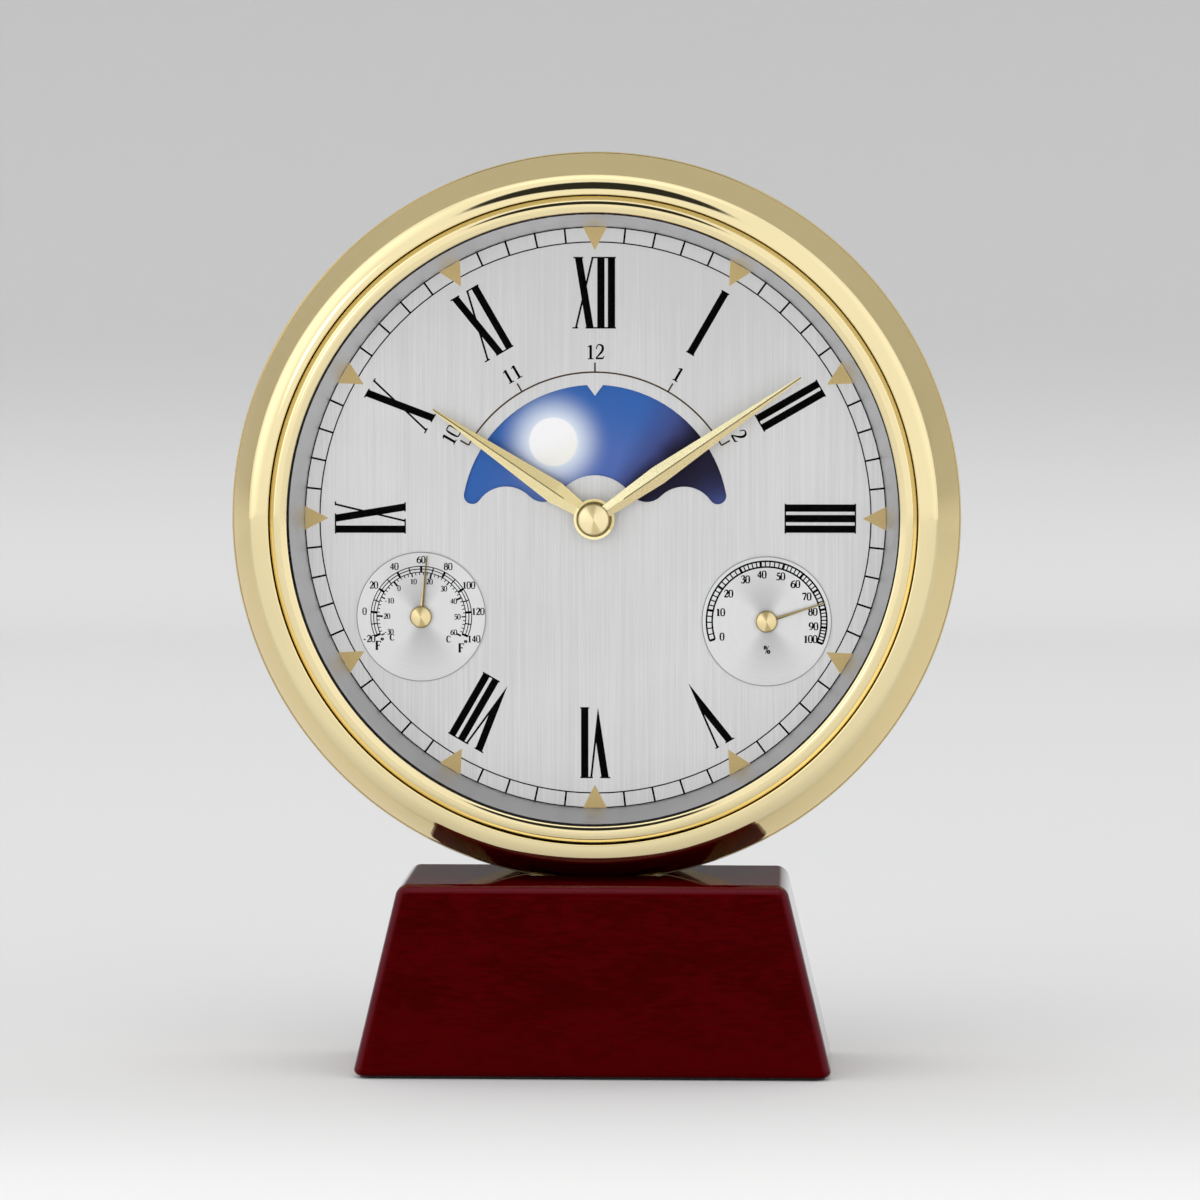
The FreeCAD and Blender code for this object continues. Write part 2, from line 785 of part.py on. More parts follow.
def moon_jumper():
    """A leaf spring on a foot, with a nose that rests between two teeth of the star wheel."""
    front = disc_back + axial_gap
    back = front + finger_thickness
    nose = star_radius - jumper_bite
    heel = star_radius + jumper_tooth_gap
    valley = (star_teeth // 2) * 360 / star_teeth
    shoulder = heel + jumper_width
    points = [(nose, 0), (heel, jumper_width / 2), (heel, jumper_length), (shoulder, jumper_length),
              (shoulder, -jumper_width / 2), (heel, -jumper_width / 2)]
    leaf = plate(points, front, back, angle=valley)
    foot_place = polar(jumper_width + heel, valley)
    along = polar(1, valley + 90)
    foot_place = (foot_place[0] + along[0] * jumper_length, foot_place[1] + along[1] * jumper_length)
    foot = rod(front, movement_front, jumper_foot_radius, foot_place)
    return leaf.fuse(foot).removeSplitter()


def hour_pinion_phase():
    return 0


def day_phase():
    return meshed(finger_rest_angle, hour_pinion_phase(), hour_pinion_teeth, day_wheel_teeth)


def hour_pinion():
    return gear(hour_pinion_teeth, day_module, day_gear_front, day_gear_back, (0, 0),
                hour_pinion_phase(), hour_tube_radius)


def day_wheel():
    """The once a day wheel, with the finger on its hub pointing away from the star wheel."""
    wheel = gear(day_wheel_teeth, day_module, day_gear_front, day_gear_back, day_place, day_phase())
    finger_front = disc_back + axial_gap
    hub = rod(finger_front, day_gear_front, day_hub_radius, day_place)
    reach = day_distance - star_radius + finger_bite
    finger = plate([(0, -finger_width / 2), (reach - finger_width, -finger_width / 2), (reach, 0),
                    (reach - finger_width, finger_width / 2), (0, finger_width / 2)],
                   finger_front, finger_front + finger_thickness, day_place, finger_rest_angle)
    bore = rod(finger_front - overrun, day_gear_back + overrun, day_stud_radius + running_gap, day_place)
    return wheel.fuse([hub, finger]).cut(bore).removeSplitter()


def day_wheel_stud():
    return rod(disc_back + axial_gap, movement_front + day_stud_seat, day_stud_radius, day_place)


# Hands

def blade(length, width, widest, neck_width, neck, back):
    """A lance shaped blade that points up, with a sharp edge each side and a ridge in the middle."""
    sections = []
    for distance, span in ((neck, neck_width), (widest, width), (length, hand_tip_width)):
        ridge = hand_edge_thickness + (hand_ridge_height - hand_edge_thickness) * span / width
        corners = [at((-span / 2, distance), back), at((span / 2, distance), back),
                   at((span / 2, distance), back - hand_edge_thickness),
                   at((0, distance), back - ridge),
                   at((-span / 2, distance), back - hand_edge_thickness)]
        sections.append(Part.makePolygon(corners + [corners[0]]))
    return Part.makeLoft(sections, True, True)


def hand(length, width, widest, neck_width, hub_radius, front, back, bore, angle):
    arm = blade(length, width, widest, neck_width, bore, back)
    shape = rod(front, back, hub_radius).fuse(arm).cut(rod(front - overrun, back + overrun, bore))
    shape.rotate(at((0, 0), 0), -forward, angle)
    return shape


def hour_hand():
    return hand(hour_hand_length, hour_hand_width, hour_hand_widest, hour_neck_width, hour_hub_radius,
                hour_hub_front, hour_hub_front + hour_hub_thickness, hour_tube_radius, hour_hand_angle)


def minute_hand():
    return hand(minute_hand_length, minute_hand_width, minute_hand_widest, minute_neck_width,
                minute_hub_radius, minute_hub_front, minute_hub_back, arbor_radius, minute_hand_angle)


def hand_cap():
    """A low dome that holds the minute hand on the arbor."""
    cap = rod(minute_hub_front - cap_height, minute_hub_front, cap_radius)
    rim = [edge for edge in cap.Edges if abs(edge.BoundBox.YMax - minute_hub_front + cap_height) < fit_gap]
    cap = cap.makeFillet(cap_height / 2, rim)
    return cap.cut(rod(arbor_front, minute_hub_front + overrun, arbor_radius))


# Instruments

def instrument_plate(place):
    front = dial_face_depth - instrument_plate_thickness
    return tube(front, dial_face_depth, instrument_radius, pointer_arbor_radius + running_gap, place)


def instrument_cup(place):
    back = dial_face_depth + cup_length
    cup = rod(dial_face_depth, back, cup_radius, place)
    inside = rod(dial_face_depth - overrun, back - cup_wall, cup_radius - cup_wall, place)
    bearing = rod(back - cup_wall - overrun, back + overrun, pointer_arbor_radius + running_gap, place)
    return cup.cut([inside, bearing])


def collar_front():
    return dial_face_depth + (cup_length - pointer_collar_length) / 2


def pointer_front():
    return dial_face_depth - instrument_plate_thickness - pointer_height - pointer_thickness


def pointer_arbor(place):
    back = dial_face_depth + cup_length
    arbor = rod(pointer_front() - pointer_cap_height / 2, back, pointer_arbor_radius, place)
    collar = rod(collar_front(), collar_front() + pointer_collar_length, pointer_collar_radius, place)
    return arbor.fuse(collar)


def instrument_coil(place):
    front = collar_front() + (pointer_collar_length - coil_width) / 2
    inner = pointer_collar_radius + running_gap + coil_strip / 2
    outer = cup_radius - cup_wall - coil_strip / 2 - running_gap
    return spiral(place, front, front + coil_width, inner, outer)


def pointer(place, angle):
    front = pointer_front()
    needle = plate([(-pointer_width / 2, 0), (pointer_width / 2, 0), (pointer_tip_width / 2, pointer_length),
                    (-pointer_tip_width / 2, pointer_length)], front, front + pointer_thickness, place)
    hub = rod(front, front + pointer_thickness, pointer_collar_radius, place)
    shape = needle.fuse(hub).cut(rod(front - overrun, front + overrun, pointer_arbor_radius, place))
    shape.rotate(at(place, 0), -forward, angle)
    return shape


def pointer_cap(place):
    back = pointer_front()
    front = back - pointer_cap_height
    cap = rod(front, back, pointer_cap_radius, place)
    rim = [edge for edge in cap.Edges if abs(edge.BoundBox.YMax - front) < fit_gap]
    cap = cap.makeFillet(pointer_cap_height * 3 / 4, rim)
    return cap.cut(rod(back - pointer_cap_height / 2, back + overrun, pointer_arbor_radius, place))


# Movement case

def movement_front_plate():
    half_width = movement_width / 2
    corners = [(-half_width, -movement_half_height), (half_width, -movement_half_height),
               (half_width, movement_half_height), (-half_width, movement_half_height)]
    sheet = plate(corners, movement_front, plate_back,
                  rounding={corner: movement_corner_radius for corner in range(4)})
    ears = []
    for place in ear_places:
        ears.append(rod(movement_front, plate_back, ear_radius, place))
        root = movement_half_height - ear_radius
        low, high = sorted((place[1], root if place[1] > 0 else -root))
        ears.append(slab(place[0] - ear_radius, place[0] + ear_radius, movement_front, plate_back, low, high))
    holes = [rod(movement_front - overrun, plate_back + overrun, stud_radius + fit_gap, place)
             for place in ear_places]
    holes.append(rod(movement_front - overrun, plate_back + overrun, hour_tube_radius + running_gap))
    holes.append(rod(movement_front - overrun, movement_front + day_stud_seat, day_stud_radius, day_place))
    pivot_places = (motion_place, set_place, third_place, seconds_place, step_place, rotor_place)
    holes += [rod(plate_back - front_plate_thickness / 2, plate_back + overrun,
                  pivot_radius + pivot_gap, place) for place in pivot_places]
    return sheet.fuse(ears).cut(holes).removeSplitter()


def battery_level():
    """The height of the battery's axis from the dial's axis."""
    return -movement_half_height + movement_wall + battery_gap + battery_radius


def battery_depth():
    return plate_back + battery_floor + battery_gap + battery_radius


def bay_top():
    return battery_level() + battery_radius + battery_gap


def movement_back_case():
    half_width = movement_width / 2
    corners = [(-half_width, -movement_half_height), (half_width, -movement_half_height),
               (half_width, movement_half_height), (-half_width, movement_half_height)]
    box = plate(corners, plate_back, movement_back,
                rounding={corner: movement_corner_radius for corner in range(4)})
    works = slab(-half_width + movement_wall, half_width - movement_wall, plate_back - overrun,
                 movement_back - movement_wall, bay_top() + bay_wall, movement_half_height - movement_wall)
    bay_half_length = battery_half_length() + battery_end_gap + contact_thickness
    bay = slab(-bay_half_length, bay_half_length, plate_back + battery_floor, movement_back + overrun,
               -movement_half_height + movement_wall, bay_top())
    knob_hole = rod(movement_back - movement_wall - overrun, movement_back + overrun,
                    knob_hub_radius + running_gap, set_place)
    return box.cut([works, bay, knob_hole])


def battery_half_length():
    return (battery_length + battery_nub_length) / 2


def battery():
    right = FreeCAD.Vector(1, 0, 0)
    half = battery_half_length()
    start = at((-half, battery_level()), battery_depth())
    can = Part.makeCylinder(battery_radius, battery_length, start, right)
    nub = Part.makeCylinder(battery_nub_radius, battery_nub_length, start + right * battery_length, right)
    return can.fuse(nub)


def battery_contacts():
    strips = []
    for side in (-1, 1):
        inner = side * (battery_half_length() + battery_end_gap)
        left, right = sorted((inner, inner + side * contact_thickness))
        strips.append(slab(left, right, plate_back + battery_floor, battery_depth() + battery_nub_radius,
                           battery_level() - contact_width / 2, battery_level() + contact_width / 2))
    return Part.makeCompound(strips)


def movement_posts():
    posts = []
    for place in ear_places:
        body = rod(dial_back, movement_front, post_radius, place)
        posts.append(body.fuse(rod(movement_front, plate_back + nut_thickness + fit_gap, stud_radius, place)))
    return Part.makeCompound(posts)


def movement_nuts():
    nuts = []
    for place in ear_places:
        corners = [polar(nut_radius, side * 60) for side in range(6)]
        nut = plate(corners, plate_back, plate_back + nut_thickness, place)
        bore = rod(plate_back - overrun, plate_back + nut_thickness + overrun, stud_radius, place)
        nuts.append(nut.cut(bore))
    return Part.makeCompound(nuts)


def train_bridge():
    """The plate that carries the rear pivots of the train."""
    low = bay_top() + bay_wall
    high = movement_half_height - movement_wall
    half_width = movement_width / 2 - movement_wall
    sheet = slab(-half_width, half_width, bridge_front, bridge_back, low, high)
    holes = [rod(bridge_front - overrun, bridge_back + overrun, pivot_radius + pivot_gap, place)
             for place in (third_place, seconds_place, step_place, rotor_place)]
    holes.append(rod(bridge_front - overrun, bridge_back + overrun, arbor_radius + pivot_gap))
    holes.append(rod(bridge_front - overrun, bridge_back + overrun, knob_hub_radius + running_gap, set_place))
    return sheet.cut(holes)


def circuit_board():
    back = movement_back - movement_wall
    left = -movement_width / 2 + movement_wall + fit_gap
    low = bay_top() + bay_wall + fit_gap
    return slab(left, left + board_width, back - board_thickness, back, low, low + board_height)


def quartz_crystal():
    back = movement_back - movement_wall - board_thickness
    left = -movement_width / 2 + movement_wall + fit_gap
    low = bay_top() + bay_wall + fit_gap
    start = at((left + board_width / 2, low + (board_height - quartz_length) / 2), back - quartz_radius)
    return Part.makeCylinder(quartz_radius, quartz_length, start, FreeCAD.Vector(0, 0, 1))


# Motion work

def cannon_phase():
    return 0


def motion_phase():
    return meshed(motion_angle, cannon_phase(), cannon_teeth, motion_wheel_teeth)


def centre_arbor():
    """The arbor that carries the minute hand, with the cannon pinion on it."""
    arbor = rod(arbor_front, bridge_back, arbor_radius)
    pinion = gear(cannon_teeth, cannon_module, cannon_front, cannon_back, (0, 0), cannon_phase())
    return arbor.fuse(pinion).removeSplitter()


def motion_wheel():
    front = cannon_front + pinion_overlap
    wheel = gear(motion_wheel_teeth, cannon_module, front, front + wheel_thickness,
                 motion_place, motion_phase())
    pinion = gear(motion_pinion_teeth, hour_module, hour_wheel_front - pinion_overlap, front,
                  motion_place, motion_pinion_phase())
    pivot = rod(plate_back - front_plate_thickness / 2 + fit_gap, cannon_back, pivot_radius, motion_place)
    return wheel.fuse([pinion, pivot]).removeSplitter()


def motion_pinion_phase():
    return motion_angle + 180


def hour_wheel():
    """The hour wheel and the tube that carries the hour hand."""
    phase = meshed(motion_angle + 180, motion_pinion_phase(), motion_pinion_teeth, hour_wheel_teeth)
    wheel = gear(hour_wheel_teeth, hour_module, hour_wheel_front, hour_wheel_back, (0, 0), phase)
    pipe = rod(hour_tube_front, hour_wheel_back, hour_tube_radius)
    bore = rod(hour_tube_front - overrun, hour_wheel_back + overrun, arbor_radius + running_gap)
    return wheel.fuse(pipe).cut(bore).removeSplitter()


def set_knob():
    """The fluted knob behind the movement, on the arbor with the setting pinion."""
    phase = meshed(set_angle, motion_phase(), motion_wheel_teeth, cannon_teeth)
    pinion = gear(cannon_teeth, cannon_module, cannon_front, cannon_back, set_place, phase)
    knob_front = movement_back + knob_standoff
    pivot = rod(plate_back - front_plate_thickness / 2 + fit_gap, cannon_front, pivot_radius, set_place)
    arbor = rod(cannon_back, knob_front, knob_hub_radius, set_place)
    knob = rod(knob_front, knob_front + knob_length, knob_radius, set_place)
    flutes = [rod(knob_front - overrun, knob_front + knob_length + overrun, knob_flute_radius,
                  polar(knob_radius, flute * 360 / knob_flutes, set_place)) for flute in range(knob_flutes)]
    return pinion.fuse([pivot, arbor, knob.cut(flutes)]).removeSplitter()


# Going train

def arbor_with(place, gears):
    """A wheel, its pinion and the arbor between the front plate and the bridge."""
    start = plate_back - front_plate_thickness / 2 + fit_gap
    return rod(start, bridge_back, pivot_radius, place).fuse(gears).removeSplitter()


def third_pinion_phase():
    return third_angle + 180


def third_phase():
    return 0


def seconds_pinion_phase():
    return meshed(seconds_angle, third_phase(), third_wheel_teeth, seconds_pinion_teeth)


def step_pinion_phase():
    return meshed(step_angle, 0, seconds_wheel_teeth, step_pinion_teeth)


def centre_wheel():
    """Friction fitted on the centre arbor in use, so that the hands can be set."""
    phase = meshed(third_angle + 180, third_pinion_phase(), third_pinion_teeth, centre_wheel_teeth)
    return gear(centre_wheel_teeth, centre_module, centre_wheel_front, centre_wheel_front + wheel_thickness,
                (0, 0), phase, arbor_radius + running_gap)


def third_wheel():
    wheel = gear(third_wheel_teeth, third_module, third_wheel_front, third_wheel_front + wheel_thickness,
                 third_place, third_phase())
    pinion = gear(third_pinion_teeth, centre_module, centre_wheel_front - pinion_overlap,
                  third_wheel_front, third_place, third_pinion_phase())
    return arbor_with(third_place, [wheel, pinion])


def seconds_wheel():
    wheel = gear(seconds_wheel_teeth, seconds_module, seconds_wheel_front,
                 seconds_wheel_front + wheel_thickness, seconds_place, 0)
    pinion = gear(seconds_pinion_teeth, third_module, third_wheel_front - pinion_overlap,
                  seconds_wheel_front, seconds_place, seconds_pinion_phase())
    return arbor_with(seconds_place, [wheel, pinion])


def step_wheel():
    wheel = gear(step_wheel_teeth, rotor_module, step_wheel_front, step_wheel_front + wheel_thickness,
                 step_place, 0)
    pinion = gear(step_pinion_teeth, seconds_module, seconds_wheel_front - pinion_overlap,
                  step_wheel_front, step_place, step_pinion_phase())
    return arbor_with(step_place, [wheel, pinion])


def rotor():
    """The stepping motor's round magnet with its pinion."""
    pinion = gear(rotor_pinion_teeth, rotor_module, step_wheel_front - pinion_overlap,
                  step_wheel_front + wheel_thickness, rotor_place,
                  meshed(rotor_angle, 0, step_wheel_teeth, rotor_pinion_teeth))
    magnet_back = seconds_wheel_front
    magnet = rod(magnet_back - magnet_thickness, magnet_back, magnet_radius, rotor_place)
    return arbor_with(rotor_place, [pinion, magnet])


def stator_front():
    return seconds_wheel_front - magnet_thickness + (magnet_thickness - stator_thickness) / 2


def core_level():
    return rotor_place[1] + winding_rise


def stator_sides():
    """From just left of the magnet to a gap from the movement's side wall."""
    left = rotor_place[0] - magnet_radius - magnet_gap - core_width
    return left, movement_width / 2 - movement_wall - stator_wall_gap


def stator():
    """A flat iron frame around the magnet, with the core of the winding as its upper side."""
    left, right = stator_sides()
    low = rotor_place[1] - stator_arm
    front, back = stator_front(), stator_front() + stator_thickness
    arm = slab(left, right, front, back, low, rotor_place[1] + stator_arm)
    core = slab(left, right, front, back, core_level() - core_width / 2, core_level() + core_width / 2)
    ends = [slab(start, start + core_width, front, back, low, core_level() + core_width / 2)
            for start in (left, right - core_width)]
    hole = rod(front - overrun, back + overrun, magnet_radius + magnet_gap, rotor_place)
    return arm.fuse([core] + ends).cut(hole).removeSplitter()


def coil_winding():
    left = (sum(stator_sides()) - winding_length) / 2
    front = stator_front()
    start = at((left, core_level()), front + stator_thickness / 2)
    body = Part.makeCylinder(winding_radius, winding_length, start, FreeCAD.Vector(1, 0, 0))
    core = slab(left - overrun, left + winding_length + overrun, front, front + stator_thickness,
                core_level() - core_width / 2, core_level() + core_width / 2)
    return body.cut(core)


makers = {
    "wood_base": wood_base,
    "felt_pad": felt_pad,
    "base_bolts": base_bolts,
    "base_washers": base_washers,
    "nut_plate": nut_plate,
    "case_drum": case_drum,
    "bezel": bezel,
    "crystal_ring": crystal_ring,
    "crystal": crystal,
    "crystal_gasket": crystal_gasket,
    "slope_ring": slope_ring,
    "dial_plate": dial_plate,
    "dial_spacer": dial_spacer,
    "case_screws": case_screws,
    "back_cover": back_cover,
    "cover_screws": cover_screws,
    "dial_bush": dial_bush,
    "bush_clip": bush_clip,
    "moon_disc": moon_disc,
    "moon_star_wheel": moon_star_wheel,
    "moon_jumper": moon_jumper,
    "hour_pinion": hour_pinion,
    "day_wheel": day_wheel,
    "day_wheel_stud": day_wheel_stud,
    "hour_hand": hour_hand,
    "minute_hand": minute_hand,
    "hand_cap": hand_cap,
    "thermometer_plate": lambda: instrument_plate(thermometer_place),
    "thermometer_cup": lambda: instrument_cup(thermometer_place),
    "thermometer_coil": lambda: instrument_coil(thermometer_place),
    "thermometer_arbor": lambda: pointer_arbor(thermometer_place),
    "thermometer_pointer": lambda: pointer(thermometer_place, thermometer_angle),
    "thermometer_cap": lambda: pointer_cap(thermometer_place),
    "hygrometer_plate": lambda: instrument_plate(hygrometer_place),
    "hygrometer_cup": lambda: instrument_cup(hygrometer_place),
    "hygrometer_coil": lambda: instrument_coil(hygrometer_place),
    "hygrometer_arbor": lambda: pointer_arbor(hygrometer_place),
    "hygrometer_pointer": lambda: pointer(hygrometer_place, hygrometer_angle),
    "hygrometer_cap": lambda: pointer_cap(hygrometer_place),
    "movement_front_plate": movement_front_plate,
    "movement_back_case": movement_back_case,
    "movement_posts": movement_posts,
    "movement_nuts": movement_nuts,
    "train_bridge": train_bridge,
    "centre_arbor": centre_arbor,
    "motion_wheel": motion_wheel,
    "hour_wheel": hour_wheel,
    "set_knob": set_knob,
    "centre_wheel": centre_wheel,
    "third_wheel": third_wheel,
    "seconds_wheel": seconds_wheel,
    "step_wheel": step_wheel,
    "rotor": rotor,
    "stator": stator,
    "coil_winding": coil_winding,
    "circuit_board": circuit_board,
    "quartz_crystal": quartz_crystal,
    "battery": battery,
    "battery_contacts": battery_contacts,
}

os.makedirs("parts", exist_ok=True)
for name, make in makers.items():
    shape = make()
    shape.exportStep(f"parts/{name}.step")
    print(name, len(shape.Solids), round(shape.Volume, 1), "valid" if shape.isValid() else "NOT VALID")
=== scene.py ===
import bpy
import json
from math import cos, hypot, pi, radians, sin, tan
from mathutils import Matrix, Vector


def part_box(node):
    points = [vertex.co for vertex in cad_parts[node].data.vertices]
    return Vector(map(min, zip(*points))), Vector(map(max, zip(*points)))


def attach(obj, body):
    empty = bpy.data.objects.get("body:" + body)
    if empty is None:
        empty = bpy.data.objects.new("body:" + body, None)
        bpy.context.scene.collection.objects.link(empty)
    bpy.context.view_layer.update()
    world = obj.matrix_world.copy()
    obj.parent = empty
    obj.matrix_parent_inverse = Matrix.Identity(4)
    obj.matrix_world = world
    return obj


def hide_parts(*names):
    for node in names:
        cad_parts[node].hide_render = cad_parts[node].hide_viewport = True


# Moon phase desk clock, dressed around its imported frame. Metres, the front faces -Y.
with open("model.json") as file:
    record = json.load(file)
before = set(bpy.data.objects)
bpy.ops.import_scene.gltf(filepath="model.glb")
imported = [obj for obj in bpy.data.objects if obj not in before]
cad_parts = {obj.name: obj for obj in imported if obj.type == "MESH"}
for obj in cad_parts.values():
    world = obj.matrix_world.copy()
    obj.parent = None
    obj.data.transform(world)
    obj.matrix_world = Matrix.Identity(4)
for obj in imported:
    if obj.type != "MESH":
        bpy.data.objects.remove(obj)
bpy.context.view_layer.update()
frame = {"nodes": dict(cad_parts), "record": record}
nodes = frame["nodes"]
mm = 0.001
print("frame loaded:", len(nodes), "nodes")


# Camera: its places, lens and sensor in millimetres, its far limit in metres

view = {"place": (42.1, -1108, 166.8), "target": (0.9, 3, 102.5), "lens": 152.0, "sensor": 36, "far": 20}


def addCamera():
    place, target = (Vector(view[key]) * mm for key in ("place", "target"))
    bpy.ops.object.camera_add(location=place)
    made = bpy.context.object
    made.name = "camera"
    made.rotation_euler = (target - place).to_track_quat("-Z", "Y").to_euler()
    made.data.lens = view["lens"]
    made.data.sensor_width = view["sensor"]
    made.data.clip_end = view["far"]
    bpy.context.scene.camera = made


addCamera()


# Shading

class Value:
    # wraps a socket, so that shading is written as plain sums
    def __init__(self, finish, socket):
        self.finish = finish
        self.socket = socket

    def work(self, operation, *values):
        return self.finish.node("Math", {"operation": operation}, dict(enumerate(values)))

    def __add__(self, other):
        return self.work("ADD", self, other)

    def __radd__(self, other):
        return self.work("ADD", other, self)

    def __sub__(self, other):
        return self.work("SUBTRACT", self, other)

    def __rsub__(self, other):
        return self.work("SUBTRACT", other, self)

    def __mul__(self, other):
        return self.work("MULTIPLY", self, other)

    def __rmul__(self, other):
        return self.work("MULTIPLY", other, self)

    def __truediv__(self, other):
        return self.work("DIVIDE", self, other)

    def __pow__(self, other):
        return self.work("POWER", self, other)

    def size(self):
        return self.work("ABSOLUTE", self)

    def root(self):
        return self.work("SQRT", self)

    def most(self, other):
        return self.work("MAXIMUM", self, other)

    def ease(self, low, high):
        # 0 at low, 1 at high, smooth between them
        return self.finish.node("MapRange", {"interpolation_type": "SMOOTHSTEP"},
                                {"Value": self, "From Min": low, "From Max": high})

    def blend(self, first, second):
        # the first colour where this value is 0, the second where it is 1
        return self.finish.node("Mix", {"data_type": "RGBA"}, {0: self, 6: first, 7: second}, 2)


class Finish:
    # a material or a world, built node by node
    def __init__(self, owner, shader):
        owner.use_nodes = True
        self.tree = owner.node_tree
        self.shader = self.tree.nodes[shader]

    def node(self, kind, settings, sockets, output=0):
        made = self.tree.nodes.new("ShaderNode" + kind)
        for key, value in settings.items():
            setattr(made, key, value)
        for key, value in sockets.items():
            self.feed(made.inputs[key], value)
        return Value(self, made.outputs[output])

    def feed(self, socket, value):
        if isinstance(value, Value):
            self.tree.links.new(value.socket, socket)
        elif isinstance(value, tuple) and socket.type == "RGBA":
            socket.default_value = (*value, 1.0)
        else:
            socket.default_value = value

    def set(self, **sockets):
        for key, value in sockets.items():
            self.feed(self.shader.inputs[key.replace("_", " ")], value)

    def place(self):
        return self.node("TexCoord", {}, {}, "Object")

    def split(self, vector):
        parts = self.node("SeparateXYZ", {}, {0: vector}).socket.node.outputs
        return [Value(self, part) for part in parts]

    def spread(self, across, up, other=0.0):
        # a place built from three values
        return self.node("CombineXYZ", {}, {0: across, 1: up, 2: other})

    def stretched(self, vector, factors):
        return self.node("VectorMath", {"operation": "MULTIPLY"}, {0: vector, 1: factors})

    def noise(self, vector, scale, detail=2.0):
        return self.node("TexNoise", {}, {"Vector": vector, "Scale": scale, "Detail": detail})

    def bump(self, height, depth):
        self.set(Normal=self.node("Bump", {}, {"Distance": depth, "Height": height}))

    def gap(self, vector, centre):
        # how far a point lies from a centre on the dial, sideways and upwards, and the distance
        across, up = self.split(vector)[::2]
        across, up = across - centre[0], up - centre[1]
        return across, up, (across * across + up * up).root()

    def rings(self, across, up, far, scale, drift):
        # the fine rings of turned metal, which drift a little on their way round
        return self.noise(self.spread(far * scale, across * drift, up * drift), 1.0, 3)


finishes = {}


def newFinish(name, **sockets):
    material = bpy.data.materials.new(name)
    finishes[name] = material
    made = Finish(material, "Principled BSDF")
    made.set(**sockets)
    return made


# Where the dial and its two instruments are

def middleOf(name):
    low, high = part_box(name)
    return (low + high) / 2


dialMiddle = middleOf("crystal_ring")
dialCentre = (dialMiddle.x, dialMiddle.z)
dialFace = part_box("dial_plate")[0].y
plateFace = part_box("thermometer_plate")[0].y
plates = {name: (middleOf(name + "_plate").x, middleOf(name + "_plate").z)
          for name in ("thermometer", "hygrometer")}


# Finishes of the metal, wood and printed parts

# Painted shade: one dark tone deep in the gap between bezel and ring, another at the bezel's back edge
gilt = {"colour": (0.80, 0.685, 0.40), "edge": (1.0, 0.90, 0.67), "smooth": 0.04, "rough": 0.08,
        "cloud": 35, "cloudy": 1.03, "wear": 900, "relief": 0.0004,
        "grooveShade": {"radius": 70.07, "half": 0.16, "soft": 0.04, "front": -15.75, "back": -15.45,
                   "tone": (0.020, 0.014, 0.005)},
        "joint": {"start": 1.0, "end": 2.0, "stop": 2.3, "inner": 78.5, "outer": 79.2, "share": 0.6,
                  "tone": (0.30, 0.235, 0.115)}}


def makeGilt():
    # polished gilding, with painted shade deep down in the gap between bezel and ring and at the bezel's back
    # edge, where it meets the drum
    grooveShade, joint = gilt["grooveShade"], gilt["joint"]
    made = newFinish("gilt", Metallic=1.0, Specular_Tint=gilt["edge"])
    place = made.place()
    far = made.gap(place, dialCentre)[2] / mm
    depth = made.split(place)[1] / mm
    cloud = made.noise(place, gilt["cloud"])
    wear = made.noise(place, gilt["wear"], 3)
    # painted shade deep in the gap between bezel and ring
    dark = (far - grooveShade["radius"]).size().ease(grooveShade["half"] + grooveShade["soft"], grooveShade["half"])
    dark = dark * depth.ease(grooveShade["front"], grooveShade["back"])
    # painted shade at the bezel's back edge, where it meets the drum
    rimShadeLine = depth.ease(joint["start"], joint["end"]) * depth.ease(joint["stop"], joint["end"])
    rimShadeLine = rimShadeLine * far.ease(joint["inner"], joint["outer"]) * joint["share"]
    skin = cloud.ease(0.3, 0.7).blend(gilt["colour"], tuple(part * gilt["cloudy"] for part in gilt["colour"]))
    made.set(Base_Color=dark.blend(rimShadeLine.blend(skin, joint["tone"]), grooveShade["tone"]),
             Roughness=gilt["smooth"] + (gilt["rough"] - gilt["smooth"]) * wear)
    made.bump(wear, gilt["relief"] * mm)


hands = {"edge": (1.0, 0.90, 0.65), "brushed": (0.55, 0.44, 0.20), "brush": 0.07, "rough": 0.17,
         "grainAlong": 0.25, "grainAcross": 6.0, "turnover": 0.08, "wellOuter": 0.10, "wellInner": 0.05,
         "ridgeHalf": 0.10, "ridgeSoft": 0.09, "ridgeStart": 7.5, "ridgeShare": 0.85,
         "ridgeShadeTone": (0.20, 0.155, 0.06)}


def makeHandGilt(name, turn, left, right, wellShadeRadius):
    # fine-brushed facets each side of the hand's crest, left and right as seen from the hub, painted in a lit
    # and a shaded colour, with a painted dark line along the crest and painted shade in a ring round the hub
    made = newFinish(name, Metallic=1.0, Specular_Tint=hands["edge"])
    across, up, far = made.gap(made.place(), dialCentre)
    turn = radians(turn)
    beside = (across * cos(turn) - up * sin(turn)) / mm
    along = (across * sin(turn) + up * cos(turn)) / mm
    brush = made.noise(made.spread(along * hands["grainAlong"], beside * hands["grainAcross"]), 1.0, 3)
    # a painted dark line along the hand's crest
    ridgeShade = beside.size().ease(hands["ridgeHalf"] + hands["ridgeSoft"], hands["ridgeHalf"])
    ridgeShade = ridgeShade * along.ease(hands["ridgeStart"], hands["ridgeStart"] + 1.0) * hands["ridgeShare"]
    # painted shade in a ring round the hub, joined to the painted line
    dark = ridgeShade.most((far / mm).ease(wellShadeRadius + hands["wellOuter"], wellShadeRadius - hands["wellInner"]))
    # painted light and shade: the facets either side take a lit and a shaded colour
    skin = beside.ease(-hands["turnover"], hands["turnover"]).blend(left, right)
    skin = (brush.ease(0.2, 0.8) * hands["brush"]).blend(skin, hands["brushed"])
    made.set(Base_Color=dark.blend(skin, hands["ridgeShadeTone"]), Roughness=brush * 0.10 + hands["rough"])


sheen = {"lean": 0.18, "fan": 0.26, "fanShare": 0.75, "rings": 9000.0, "drift": 40.0, "ringShare": 0.35,
         "rim": 0.55, "rough": 0.28, "relief": 0.002}


